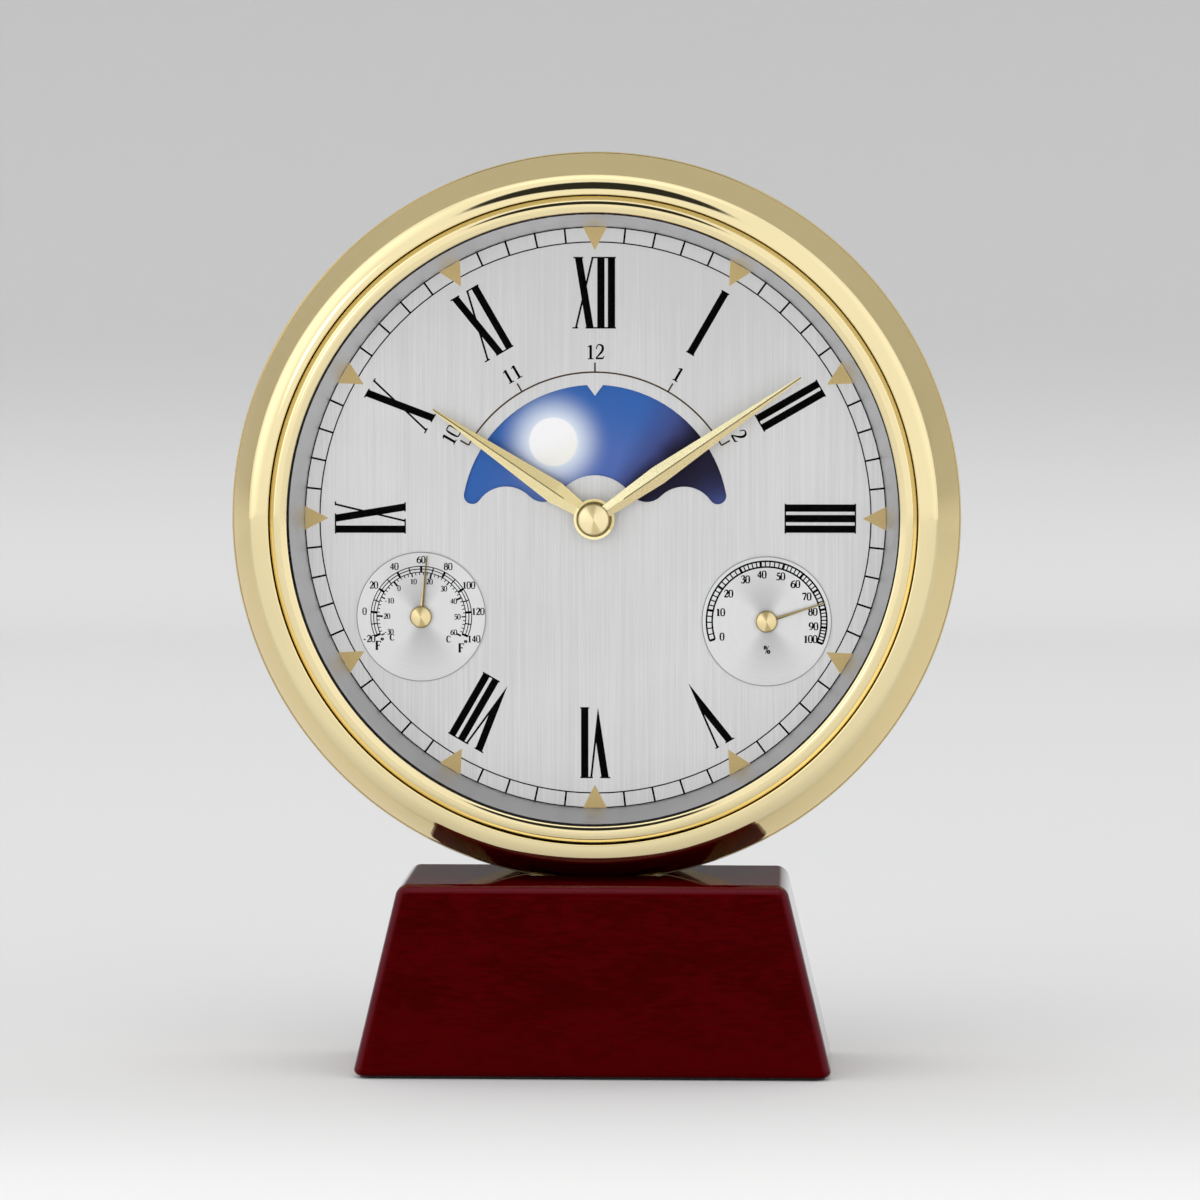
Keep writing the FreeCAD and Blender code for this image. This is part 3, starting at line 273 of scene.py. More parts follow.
def makeButtonGilt(name, centre, light, dark, rim):
    # turned buttons, with a painted sheen that fans out from the middle, and painted shade that darkens them
    # at the edge
    made = newFinish(name, Metallic=1.0, Specular_Tint=hands["edge"])
    across, up, far = made.gap(made.place(), centre)
    # painted sheen, darkest along a leaning upright through the middle
    lean = across + up * sheen["lean"]
    fan = (lean * lean / (far * far + 1e-10)).ease(0.0, sheen["fan"])
    rings = made.rings(across, up, far, sheen["rings"], sheen["drift"])
    tone = fan * sheen["fanShare"] + rings * sheen["ringShare"]
    # painted shade towards the edge
    tone = tone * (far / mm).ease(rim, rim - sheen["rim"])
    made.set(Base_Color=tone.blend(dark, light), Roughness=rings * 0.12 + sheen["rough"])
    made.bump(rings, sheen["relief"] * mm)


needle = {"grain": 1500, "waver": 0.05, "left": -0.06, "right": 0.10, "rough": 0.32}


def makeNeedleGilt(name, centre, turn, left, right):
    # a thin needle, with a painted lit side and a painted shaded side
    made = newFinish(name, Metallic=1.0)
    place = made.place()
    across, up = made.gap(place, centre)[:2]
    turn = radians(turn)
    beside = (across * cos(turn) - up * sin(turn)) / mm
    grain = made.noise(place, needle["grain"], 3)
    # painted light and shade: one side lit, the other shaded
    side = (beside + (grain - 0.5) * needle["waver"]).ease(needle["left"], needle["right"])
    made.set(Base_Color=side.blend(left, right), Roughness=grain * 0.1 + needle["rough"])


# The wood's edge colour is a painted highlight, its colour on the hollow under the case painted shade, and
# the lightening near the foot painted light
wood = {"dark": (0.044, 0.0, 0.0002), "light": (0.070, 0.0001, 0.0008), "edge": (0.11, 0.001, 0.009),
        "saddle": (0.013, 0.0, 0.0002), "saddleLow": 42.6, "saddleHigh": 44.5,
        "front": -21.2, "top": 41.9, "foot": 52.0, "lean": 0.2404, "border": 1.9, "corner": 0.6,
        "frontGloss": 0.02, "edgeGloss": 0.22, "topGloss": 0.26, "dull": 0.5, "dullFrom": 12.0, "dullTo": 4.0,
        "fibres": (260.0, 900.0, 1500.0), "fibreShare": 0.62, "patches": (50.0, 90.0, 130.0),
        "patchShare": 0.38, "toneLow": 0.38, "toneHigh": 0.64, "paintedFootLight": 0.6, "footHigh": 20.0,
        "edgeHighlightShare": 0.7, "rough": 0.45, "relief": 0.02}


def makeLacquer():
    # dark red wood; its gloss shows most on the rounded edges, the sides and the back, and least on the front
    made = newFinish("lacquered_wood", Specular_IOR_Level=0.0, Coat_Roughness=0.06, Coat_IOR=1.5)
    place = made.place()
    across, depth, up = (part / mm for part in made.split(place))
    fibre = made.noise(made.stretched(place, wood["fibres"]), 1.0, 4)
    patch = made.noise(made.stretched(place, wood["patches"]), 1.0, 2)
    tone = (fibre * wood["fibreShare"] + patch * wood["patchShare"]).ease(wood["toneLow"], wood["toneHigh"])
    # painted light: lighter low down on the base
    tone = tone + up.ease(wood["footHigh"], 1.0) * wood["paintedFootLight"]
    # painted shade in the hollow where the case sits
    onSaddle = up.ease(wood["saddleLow"], wood["saddleHigh"])
    grain = onSaddle.blend(tone.blend(wood["dark"], wood["light"]), wood["saddle"])
    border, corner = wood["border"], wood["corner"]
    rim = (across.size() + up * wood["lean"]).ease(wood["foot"] - border, wood["foot"] - corner)
    rim = rim.most(up.ease(wood["top"] - border, wood["top"] - corner))
    onFront = depth.ease(wood["front"] + 1.0, wood["front"] - corner)
    onTop = up.ease(wood["top"] - 0.1, wood["top"] + 0.25)
    shown = (rim * wood["edgeGloss"]).most(1.0 - onFront)
    gloss = shown * (1.0 - wood["frontGloss"]) + wood["frontGloss"]
    gloss = gloss * (1.0 - onTop) + onTop * wood["topGloss"]
    gloss = gloss * (1.0 - onSaddle * depth.ease(wood["dullFrom"], wood["dullTo"]) * wood["dull"])
    # painted highlight along the rounded edges of the front
    made.set(Base_Color=(rim * onFront * wood["edgeHighlightShare"]).blend(grain, wood["edge"]), Coat_Weight=gloss,
             Roughness=made.noise(place, 60) * 0.1 + wood["rough"])
    made.bump(made.noise(place, 25), wood["relief"] * mm)


brushedSilver = {"low": (0.70, 0.70, 0.703), "high": (0.845, 0.845, 0.847), "metal": 0.7,
                 "fine": (5200.0, 200.0, 45.0), "fineShare": 0.50, "broad": (900.0, 20.0, 9.0),
                 "broadShare": 0.20, "cloud": 28, "cloudShare": 0.30, "shade": 0.16, "shadeFrom": 15.0,
                 "shadeTo": 62.0, "rough": 0.38, "relief": 0.004}


def makeDialSilver():
    # brushed upright, with painted shade that makes it a little darker towards the top
    silver = brushedSilver
    made = newFinish("silver_dial", Metallic=silver["metal"])
    place = made.place()
    fine = made.noise(made.stretched(place, silver["fine"]), 1.0, 3)
    broad = made.noise(made.stretched(place, silver["broad"]), 1.0, 2)
    cloud = made.noise(place, silver["cloud"], 4)
    up = (made.split(place)[2] - dialCentre[1]) / mm
    brush = fine * silver["fineShare"] + broad * silver["broadShare"] + cloud * silver["cloudShare"]
    # painted shade towards the top
    brush = brush - up.ease(silver["shadeFrom"], silver["shadeTo"]) * silver["shade"]
    made.set(Base_Color=brush.ease(0.3, 0.7).blend(silver["low"], silver["high"]),
             Roughness=silver["rough"] + fine * 0.16)
    made.bump(fine, silver["relief"] * mm)


# The turned tone colours a painted dark line of shade inside the rim; the fan is a painted sheen
spunSilver = {"low": (0.49, 0.49, 0.495), "high": (0.875, 0.875, 0.877), "turned": (0.30, 0.30, 0.305),
              "metal": 0.7, "lean": 0.12, "fan": 0.62, "fanFrom": 13.0, "fanTo": 2.5, "fanShare": 0.45,
              "fanLeast": 0.18, "rings": 5200.0, "drift": 30.0, "swirl": 0.22, "rim": 14.12, "line": 0.17,
              "rough": 0.34, "relief": 0.004}


def makePlateSilver(side):
    # spun silver with a painted sheen, darker along the upright through its centre and with painted shade
    # towards the hub, and a painted dark line of shade inside its rim
    silver = spunSilver
    made = newFinish(side + "_silver", Metallic=silver["metal"])
    across, up, far = made.gap(made.place(), plates[side])
    rings = made.rings(across, up, far, silver["rings"], silver["drift"])
    lean = across + up * silver["lean"]
    # painted sheen, darker along the upright, with painted shade towards the hub
    fan = (lean * lean / (far * far + 1e-9)).ease(0.0, silver["fan"])
    reach = (far / mm).ease(silver["fanFrom"], silver["fanTo"]) * silver["fanShare"] + silver["fanLeast"]
    tone = 1.0 - (1.0 - fan) * reach - rings * silver["swirl"]
    # a painted dark line of shade inside the rim
    grooveShade = (far / mm - silver["rim"]).size().ease(silver["line"], silver["line"] * 0.3)
    made.set(Base_Color=grooveShade.blend(tone.blend(silver["low"], silver["high"]), silver["turned"]),
             Roughness=silver["rough"] + rings * 0.16)
    made.bump(rings, silver["relief"] * mm)


satinSilver = {"low": (0.60, 0.60, 0.61), "high": (0.99, 0.99, 1.0), "metal": 0.85, "rough": 0.48,
               "rings": 3500.0, "drift": 12.0, "ringShare": 0.12, "bottom": -1.15, "top": 1.1,
               "paintedLightShare": 0.62, "waves": 1.6, "waveShare": 0.5, "relief": 0.004}


def makeSatinSilver():
    # a matt turned slope with painted light, lighter at the top and darker at the bottom, and a painted sheen
    # that changes softly round the dial
    silver = satinSilver
    made = newFinish("satin_silver", Metallic=silver["metal"])
    across, up, far = made.gap(made.place(), dialCentre)
    rings = made.rings(across, up, far, silver["rings"], silver["drift"])
    waves = made.noise(made.spread(across / far * silver["waves"], up / far * silver["waves"], 3.0), 1.0, 1)
    # painted light: lighter at the top, darker at the bottom
    tone = (up / far).ease(silver["bottom"], silver["top"]) * silver["paintedLightShare"]
    tone = tone + waves * silver["waveShare"] + rings * silver["ringShare"]
    made.set(Base_Color=tone.blend(silver["low"], silver["high"]), Roughness=silver["rough"] + rings * 0.1)
    made.bump(rings, silver["relief"] * mm)


sky = {"moonAngle": -28.8, "orbit": 19.0, "radius": 5.3, "glow": 13.5, "soft": 0.25, "metal": 0.75,
       "near": (0.085, 0.155, 0.46), "far": (0.036, 0.130, 0.44), "evening": (0.055, 0.070, 0.23),
       "night": (0.011, 0.009, 0.030), "moon": (0.99, 0.985, 1.0), "shade": (0.93, 0.92, 0.86),
       "halo": (0.80, 0.87, 0.97), "cloud": 120, "cloudShift": 0.10, "blueFrom": 14.0, "blueTo": 30.0,
       "eveningFrom": 0.42, "eveningTo": 0.05, "nightFrom": 0.16, "nightTo": 0.01, "fade": 1.5,
       "shadeFrom": -5.5, "shadeTo": 1.5}


def makeMoonPrint():
    # two moons, each with its halo, on a blue sky that turns to night halfway between them
    made = newFinish("moon_print", Roughness=0.35, Metallic=sky["metal"])
    place = made.place()
    across, up, far = made.gap(place, dialCentre)
    turn = radians(sky["moonAngle"])
    along = across * sin(turn) + up * cos(turn)
    beside = across * cos(turn) - up * sin(turn)
    off = along.size() - sky["orbit"] * mm
    moonGap = (off * off + beside * beside).root() / mm
    cloud = made.noise(place, sky["cloud"], 3)
    late = along * along / (far * far + 1e-9) + (cloud - 0.5) * sky["cloudShift"]
    blue = (far / mm + cloud * 4.0).ease(sky["blueFrom"], sky["blueTo"]).blend(sky["near"], sky["far"])
    dusk = late.ease(sky["eveningFrom"], sky["eveningTo"]).blend(blue, sky["evening"])
    dusk = late.ease(sky["nightFrom"], sky["nightTo"]).blend(dusk, sky["night"])
    glow = moonGap.ease(sky["glow"], sky["radius"] - 1.6) ** sky["fade"]
    halo = glow.blend(dusk, sky["halo"])
    disc = (off / mm).ease(sky["shadeFrom"], sky["shadeTo"]).blend(sky["shade"], sky["moon"])
    edge = moonGap.ease(sky["radius"] + sky["soft"], sky["radius"] - sky["soft"])
    made.set(Base_Color=edge.blend(halo, disc))


glass = {"bending": 1.45, "clear": 0.036, "share": 0.8, "rough": 0.02}


def makeCrystal():
    # only the glass's reflections, over what lies behind it
    made = newFinish("crystal", Base_Color=(1.0, 1.0, 1.0), Metallic=1.0, Roughness=glass["rough"])
    sheen = made.node("Fresnel", {}, {"IOR": glass["bending"]})
    made.set(Alpha=(sheen - glass["clear"]) * glass["share"])


def makePlain(name, low, high, metal, rough, scale, depth, stretch=(1.0, 1.0, 1.0), **more):
    # a finish with a fine grain in its colour, roughness and relief
    made = newFinish(name, Metallic=metal, **more)
    grain = made.noise(made.stretched(made.place(), stretch), scale, 3)
    made.set(Base_Color=grain.ease(0.3, 0.7).blend(low, high), Roughness=rough + grain * 0.12)
    made.bump(grain, depth * mm)


cell = {"bronze": 13.0, "rim": 23.7, "darkEnd": -25.0, "soft": 0.05, "dark": (0.012, 0.012, 0.014),
        "bronzeTone": (0.42, 0.22, 0.09), "steel": (0.55, 0.55, 0.56)}


def makeBatteryJacket():
    # a plain dark jacket with a bronze end, and bare steel at both rims and the nub
    soft = cell["soft"]
    made = newFinish("battery_jacket")
    place = made.place()
    across = made.split(place)[0] / mm
    fine = made.noise(made.stretched(place, (2000.0, 300.0, 300.0)), 1.0, 2)
    bronze = across.ease(cell["bronze"] - soft, cell["bronze"] + soft)
    bare = across.ease(cell["rim"] - soft, cell["rim"] + soft)
    bare = bare.most(across.ease(cell["darkEnd"] + soft, cell["darkEnd"] - soft))
    made.set(Base_Color=bare.blend(bronze.blend(cell["dark"], cell["bronzeTone"]), cell["steel"]),
             Metallic=bare.most(bronze * 0.9), Roughness=0.24 + fine * 0.06)


makeGilt()
makeHandGilt("hour_gilt", -55.9, (1.0, 0.87, 0.49), (0.75, 0.63, 0.32), 3.85)
makeHandGilt("minute_gilt", 55.5, (1.0, 0.91, 0.56), (1.0, 0.83, 0.46), 0.5)
makeButtonGilt("hand_cap", dialCentre, (1.0, 0.86, 0.52), (0.62, 0.50, 0.25), 3.45)
for side in plates:
    makeButtonGilt(side + "_cap", plates[side], (0.93, 0.77, 0.43), (0.50, 0.39, 0.17), 2.45)
makeNeedleGilt("thermometer_pointer", plates["thermometer"], 4.5, (0.92, 0.74, 0.36), (0.20, 0.15, 0.06))
makeNeedleGilt("hygrometer_pointer", plates["hygrometer"], 74.0, (0.34, 0.27, 0.12), (0.050, 0.038, 0.018))
makeLacquer()
makeDialSilver()
makePlateSilver("thermometer")
makePlateSilver("hygrometer")
makeSatinSilver()
makeMoonPrint()
makeCrystal()
makePlain("felt", (0.008, 0.008, 0.009), (0.030, 0.030, 0.033), 0.0, 0.85, 2600, 0.12, Sheen_Weight=0.3)
makePlain("black_rubber", (0.010, 0.010, 0.010), (0.020, 0.020, 0.020), 0.0, 0.55, 1500, 0.01)
makePlain("steel", (0.50, 0.50, 0.51), (0.60, 0.60, 0.61), 1.0, 0.22, 700, 0.002, (1.0, 1.0, 6.0))
makePlain("zinc_screw", (0.52, 0.52, 0.50), (0.63, 0.63, 0.62), 1.0, 0.25, 1200, 0.003)
makePlain("raw_brass", (0.62, 0.44, 0.16), (0.72, 0.53, 0.22), 1.0, 0.22, 900, 0.003)
makePlain("black_plastic", (0.010, 0.010, 0.011), (0.020, 0.020, 0.021), 0.0, 0.42, 1800, 0.02)
makePlain("grey_plastic", (0.10, 0.10, 0.105), (0.14, 0.14, 0.145), 0.0, 0.40, 1800, 0.02)
makePlain("white_plastic", (0.68, 0.68, 0.65), (0.76, 0.76, 0.73), 0.0, 0.32, 1500, 0.01)
makePlain("bimetal", (0.40, 0.31, 0.17), (0.52, 0.41, 0.24), 1.0, 0.30, 1500, 0.003)
makePlain("magnet", (0.035, 0.035, 0.038), (0.060, 0.060, 0.064), 0.6, 0.45, 2200, 0.01)
makePlain("iron_sheet", (0.30, 0.30, 0.31), (0.40, 0.40, 0.41), 1.0, 0.35, 900, 0.004)
makePlain("copper_wire", (0.48, 0.17, 0.07), (0.62, 0.25, 0.11), 0.9, 0.25, 400, 0.05, (1.0, 30.0, 1.0))
makePlain("circuit", (0.006, 0.060, 0.022), (0.014, 0.095, 0.036), 0.0, 0.25, 900, 0.02)
makeBatteryJacket()
makePlain("ink_black", (0.0015, 0.0015, 0.0015), (0.003, 0.003, 0.003), 0.0, 0.45, 4000, 0.001,
          Specular_IOR_Level=0.02)
makePlain("ink_gold", (0.62, 0.46, 0.19), (0.72, 0.54, 0.24), 0.3, 0.38, 4000, 0.001)
makePlain("ink_brown", (0.070, 0.042, 0.012), (0.10, 0.062, 0.020), 0.0, 0.40, 4000, 0.001,
          Specular_IOR_Level=0.1)
print("finishes made:", len(finishes))


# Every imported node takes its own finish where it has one, and otherwise its material slot's

def dressNodes():
    own = {"hour_hand": "hour_gilt", "minute_hand": "minute_gilt"}
    own.update({side + "_plate": side + "_silver" for side in plates})
    for part in frame["record"]["subparts"]:
        node, slot = part["node"], part["material_slot"]
        mesh = nodes[node].data
        mesh.materials.clear()
        mesh.materials.append(finishes[own.get(node, node if node in finishes else slot)])


dressNodes()


# Modelling

def select(*items):
    bpy.ops.object.select_all(action="DESELECT")
    for item in items:
        item.select_set(True)
    bpy.context.view_layer.objects.active = items[0]


def settle(item):
    select(item)
    bpy.ops.object.transform_apply(location=True, rotation=True, scale=True)
    return item


def join(items, name):
    select(*items)
    if len(items) > 1:
        bpy.ops.object.join()
    made = bpy.context.view_layer.objects.active
    made.name = made.data.name = name
    return made


def turned(item, angle):
    # turns an item clockwise round the dial's axis
    item.rotation_euler = (0, radians(angle), 0)
    return settle(item)


def copies(item, angles):
    made = []
    for angle in angles:
        other = item.copy()
        other.data = item.data.copy()
        bpy.context.collection.objects.link(other)
        made.append(turned(other, angle))
    bpy.data.objects.remove(item)
    return made


def tidyMesh(item):
    select(item)
    bpy.ops.object.mode_set(mode="EDIT")
    bpy.ops.mesh.select_all(action="SELECT")
    bpy.ops.mesh.remove_doubles(threshold=0.0005 * mm)
    bpy.ops.mesh.normals_make_consistent(inside=False)
    bpy.ops.object.mode_set(mode="OBJECT")
    return item


# Turned metal: a profile of corners, each (radius, depth, rounding), spun round the case's axis

turning = {"steps": 240, "arc": 5.0, "sharp": 32.0}


def roundedLine(corners):
    # the profile's points, with every corner rounded by its radius
    points = []
    for place, (radius, depth, rounding) in enumerate(corners):
        here = Vector((radius, depth))
        before = (Vector(corners[place - 1][:2]) - here).normalized()
        after = (Vector(corners[(place + 1) % len(corners)][:2]) - here).normalized()
        turn = pi - before.angle(after)
        if rounding == 0 or turn < radians(0.2):
            points.append(here)
            continue
        reach = rounding * tan(turn / 2)
        centre = here + (before + after).normalized() * hypot(rounding, reach)
        start, end = here + before * reach - centre, here + after * reach - centre
        count = max(2, round(turn / radians(turning["arc"])))
        for step in range(count + 1):
            share = step / count
            points.append(centre + (start * sin((1 - share) * turn) + end * sin(share * turn)) / sin(turn))
    return points


def lathe(name, corners, finish, standsFor, body="case_body", centre=dialCentre, solid=False):
    # a solid piece's profile starts and ends on the axis
    points = [Vector((centre[0], depth * mm, centre[1] + radius * mm))
              for radius, depth in roundedLine(corners)]
    bpy.ops.object.select_all(action="DESELECT")
    bpy.ops.mesh.primitive_plane_add(size=mm, location=points[0])
    made = settle(bpy.context.object)
    bpy.ops.object.mode_set(mode="EDIT")
    bpy.ops.mesh.select_all(action="SELECT")
    bpy.ops.mesh.merge(type="CENTER")
    for last, point in zip(points, points[1:] if solid else points[1:] + points[:1]):
        bpy.ops.mesh.extrude_region_move(TRANSFORM_OT_translate={"value": point - last})
    bpy.ops.mesh.select_all(action="SELECT")
    bpy.ops.mesh.remove_doubles(threshold=0.0005 * mm)
    bpy.ops.mesh.spin(steps=turning["steps"], angle=2 * pi, center=(centre[0], 0, centre[1]), axis=(0, 1, 0))
    bpy.ops.object.mode_set(mode="OBJECT")
    tidyMesh(made)
    bpy.ops.object.shade_smooth_by_angle(angle=radians(turning["sharp"]))
    made.name = made.data.name = name
    made.data.materials.append(finishes[finish])
    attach(made, body)
    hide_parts(*standsFor)
    return made


# Bezel, ring and drum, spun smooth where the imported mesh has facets

bezel = {"edge": 0.35, "faceWidth": 1.9, "faceRound": 6.9, "run": 2.3, "drop": 1.18, "breakRound": 2.2,
         "flare": 5.4, "swell": 0.30, "swellRound": 160.0, "wall": 2.0, "frontWall": 4.0}
ring = {"width": 3.65, "gap": 0.10, "front": 0.22, "crown": 0.5, "crownRound": 3.0, "slope": 1.0, "sink": 0.7,
        "lip": 1.7}
drum = {"wall": 2.0, "rear": 0.8, "web": 2.0, "webInner": 66.0}


def turnBezel():
    low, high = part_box("bezel")
    front, back, rim = low.y / mm, high.y / mm, (high.x - low.x) / 2 / mm
    shoulder, depth = rim - bezel["flare"], front + bezel["drop"]
    face = shoulder - bezel["run"]
    bore = face - bezel["faceWidth"]
    inner = bore + bezel["wall"]
    middle = ((shoulder + rim) / 2 + bezel["swell"], (depth + back) / 2)
    lathe("turned_bezel", [
        (bore, front, bezel["edge"]), (face, front, bezel["faceRound"]),
        (shoulder, depth, bezel["breakRound"]), (*middle, bezel["swellRound"]), (rim, back, 0.1),
        (rim - bezel["wall"], back, 0), (inner + bezel["wall"] / 2, front + bezel["frontWall"], 0),
        (inner, front + bezel["frontWall"], 0), (inner, back, 0), (bore, back, 0),
    ], "gilt", ["bezel"])


def turnRing():
    low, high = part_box("crystal_ring")
    glass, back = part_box("crystal")[0].y / mm, high.y / mm
    face, outer = low.y / mm + ring["crown"], (high.x - low.x) / 2 / mm - ring["gap"]
    opening, front = outer - ring["width"], ring["front"]
    bore = opening + ring["lip"]
    lathe("turned_ring", [
        (opening, glass, 0), (opening, face + front, 0), (opening + front, face, front),
        ((opening + outer - ring["slope"]) / 2, face - ring["crown"], ring["crownRound"]),
        (outer - ring["slope"], face, 1.2), (outer, face + ring["sink"], 0.15),
        (outer, back, 0), (bore, back, 0), (bore, glass, 0),
    ], "gilt", ["crystal_ring"])


def turnDrum():
    low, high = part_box("case_drum")
    rim, back = (high.x - low.x) / 2 / mm, high.y / mm
    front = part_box("bezel")[1].y / mm
    inner = rim - drum["wall"]
    lathe("turned_drum", [
        (rim, front, 0.1), (rim, back, drum["rear"]), (inner, back, 0.2), (inner, front + drum["web"], 0),
        (drum["webInner"], front + drum["web"], 0), (drum["webInner"], front, 0),
    ], "gilt", ["case_drum"])


# Turned buttons on the hands and needles, domed a little towards the middle

button = {"hand_cap": {"rise": 0.45, "edge": 0.30, "body": "minute_hand_body"},
          "thermometer_cap": {"rise": 0.40, "edge": 0.35, "body": "thermometer_body"},
          "hygrometer_cap": {"rise": 0.40, "edge": 0.35, "body": "hygrometer_body"}}


def turnButton(node, sizes):
    low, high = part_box(node)
    front, back, rim = low.y / mm, high.y / mm, (high.x - low.x) / 2 / mm
    middle = (low + high) / 2
    lathe("turned_" + node, [
        (0, front, 0), (rim * 0.35, front + sizes["rise"] * 0.12, 6.0),
        (rim, front + sizes["rise"], sizes["edge"]), (rim, back, 0.1), (0, back, 0),
    ], node, [node], sizes["body"], (middle.x, middle.z), solid=True)


turnBezel()
turnRing()
turnDrum()
for node, sizes in button.items():
    turnButton(node, sizes)
print("metal turned")


# Printing: thin plates, drawn upright round the origin in millimetres, then set on the dial

ink = {"proud": 0.02, "sunk": 0.03, "layer": 0.006}
inkThick = ink["proud"] + ink["sunk"]


def bar(width, height, x, z, lean=0.0, layer=0):
    # a printed stroke whose top stands lean to the right of its foot; layers keep crossing strokes apart
    thickness = inkThick + layer * ink["layer"]
    bpy.ops.mesh.primitive_cube_add(size=1, location=(x * mm, 0, z * mm),
                                    scale=(width * mm, thickness * mm, height * mm))
    made = settle(bpy.context.object)
    if lean:
        for end, shift in ((-1, -lean / 2), (1, lean / 2)):
            for vertex in made.data.vertices:
                vertex.select = (vertex.co.z - z * mm) * end > 0
            pickedEdit(lambda: bpy.ops.transform.translate(value=(shift * mm, 0, 0)))
    return made


def pickedEdit(action):
    # keeps the vertices picked in code, and acts on them in edit mode
    mesh = bpy.context.object.data
    picked = [vertex.select for vertex in mesh.vertices]
    bpy.ops.object.mode_set(mode="EDIT")
    bpy.ops.mesh.select_mode(type="VERT")
    bpy.ops.mesh.select_all(action="DESELECT")
    bpy.ops.object.mode_set(mode="OBJECT")
    for vertex, state in zip(mesh.vertices, picked):
        vertex.select = state
    bpy.ops.object.mode_set(mode="EDIT")
    action()
    bpy.ops.object.mode_set(mode="OBJECT")


def cut(item, place, away):
    # takes off what lies beyond a line through place, on the side that away points to
    select(item)
    bpy.ops.object.mode_set(mode="EDIT")
    bpy.ops.mesh.select_all(action="SELECT")
    bpy.ops.mesh.bisect(plane_co=(place[0] * mm, 0, place[1] * mm),
                        plane_no=Vector((away[0], 0, away[1])).normalized(),
                        use_fill=True, clear_outer=True, clear_inner=False)
    bpy.ops.object.mode_set(mode="OBJECT")
    return item


def line(radius, width, start=0.0, sweep=360.0, step=3.0):
    # a printed line along a circle, clockwise from start
    bpy.ops.mesh.primitive_plane_add(size=1, rotation=(0, pi / 2, 0), location=(0, 0, radius * mm))
    made = bpy.context.object
    made.scale = (width * mm, inkThick * mm, 1)
    settle(made)
    turned(made, start)
    bpy.ops.object.mode_set(mode="EDIT")
    bpy.ops.mesh.select_all(action="SELECT")
    bpy.ops.mesh.spin(steps=max(1, round(sweep / step)), angle=-radians(sweep),
                      center=(0, 0, 0), axis=(0, 1, 0))
    bpy.ops.object.mode_set(mode="OBJECT")
    return tidyMesh(made)


def setOnDial(items, name, finish, centre=dialCentre, face=dialFace):
    made = join(items, name)
    made.location = (centre[0], face + (ink["sunk"] - ink["proud"]) / 2 * mm, centre[1])
    settle(made)
    made.data.materials.clear()
    made.data.materials.append(finishes[finish])
    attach(made, "case_body")
    return made


# Minute track

track = {"outer": 63.48, "inner": 60.25, "line": 0.28, "tick": 0.42}


def minuteTrack():
    circles = [line(track[edge], track["line"]) for edge in ("outer", "inner")]
    middle, length = (track["outer"] + track["inner"]) / 2, track["outer"] - track["inner"]
    tick = bar(track["tick"], length, 0, middle)
    ticks = copies(tick, [minute * 6 for minute in range(60) if minute % 5])
    setOnDial(circles + ticks, "minute_track", "ink_black")


minuteTrack()


# Tan triangles at the hours, pointing inwards

triangle = {"outer": 63.5, "base": 5.2, "height": 5.1}


def hourTriangles():
    top, half = triangle["outer"], triangle["base"] / 2
    point = bar(triangle["base"], triangle["height"], 0, top - triangle["height"] / 2, layer=3)
    for side in (-1, 1):
        cut(point, (side * half, top), (side * triangle["height"], -half))
    setOnDial(copies(point, [hour * 30 for hour in range(12)]), "hour_triangles", "ink_gold")


hourTriangles()


# Roman numerals, tops outwards

roman = {"low": 41.4, "high": 57.0, "stroke": 1.6, "hairline": 0.44, "serif": 0.32,
         "wide": {"I": 1.6, "X": 4.15, "V": 4.1}, "apex": 2.4, "joined": 0.5,
         "gap": {"II": 0.70, "XI": 0.76, "IX": 0.76, "VI": 0.40},
         "hours": {12: "XII", 1: "I", 2: "II", 3: "III", 5: "V", 6: "VI", 7: "VII", 9: "IX", 10: "X",
                   11: "XI"},
         "topSerifs": {"I": [(-0.18, 1.78)], "X": [(-0.31, 1.88), (3.62, 4.5)],
                       "V": [(-0.31, 1.9), (3.5, 4.4)]},
         "lowSerifs": {"I": [(-0.18, 1.78)], "X": [(-0.5, 0.75), (2.33, 4.35)], "V": []}}


def romanLetter(letter, x):
    low, high = roman["low"], roman["high"]
    height, middle = high - low, (high + low) / 2
    stroke, thin, wide = roman["stroke"], roman["hairline"], roman["wide"][letter]
    if letter == "I":
        return [bar(stroke, height, x + stroke / 2, middle)]
    if letter == "X":
        return [bar(stroke, height, x + wide / 2, middle, stroke - wide),
                bar(thin, height, x + wide / 2, middle, wide - thin, 1)]
    apex = x + roman["apex"]
    thick = bar(stroke, height, (x + apex + stroke) / 2, middle, x - apex)
    slim = bar(thin, height, (x + wide + apex - thin) / 2, middle, x + wide - apex, 1)
    cut(thick, (apex, low), (height, apex - x - wide))
    cut(slim, (apex, low), (-height, x - apex))
    return [thick, slim]


def serifBars(spans, z):
    joined = []
    for left, right in spans:
        if joined and left - joined[-1][1] < roman["joined"]:
            joined[-1][1] = right
        else:
            joined.append([left, right])
    return [bar(right - left, roman["serif"], (left + right) / 2, z, layer=2) for left, right in joined]


def romanNumeral(word):
    gaps = [roman["gap"][word[at:at + 2]] for at in range(len(word) - 1)]
    whole = sum(roman["wide"][letter] for letter in word) + sum(gaps)
    x = -whole / 2
    strokes, tops, lows = [], [], []
    for letter, gap in zip(word, gaps + [0]):
        strokes += romanLetter(letter, x)
        tops += [(x + left, x + right) for left, right in roman["topSerifs"][letter]]
        lows += [(x + left, x + right) for left, right in roman["lowSerifs"][letter]]
        x += roman["wide"][letter] + gap
    strokes += serifBars(tops, roman["high"] - roman["serif"] / 2)
    strokes += serifBars(lows, roman["low"] + roman["serif"] / 2)
    return join(strokes, "numeral")


def romanNumerals():
    done = [turned(romanNumeral(word), hour * 30) for hour, word in roman["hours"].items()]
    setOnDial(done, "roman_numerals", "ink_black")


romanNumerals()
print("dial printed")


# Small figures, drawn with a pen: across, up, half width; a figure is 1 high

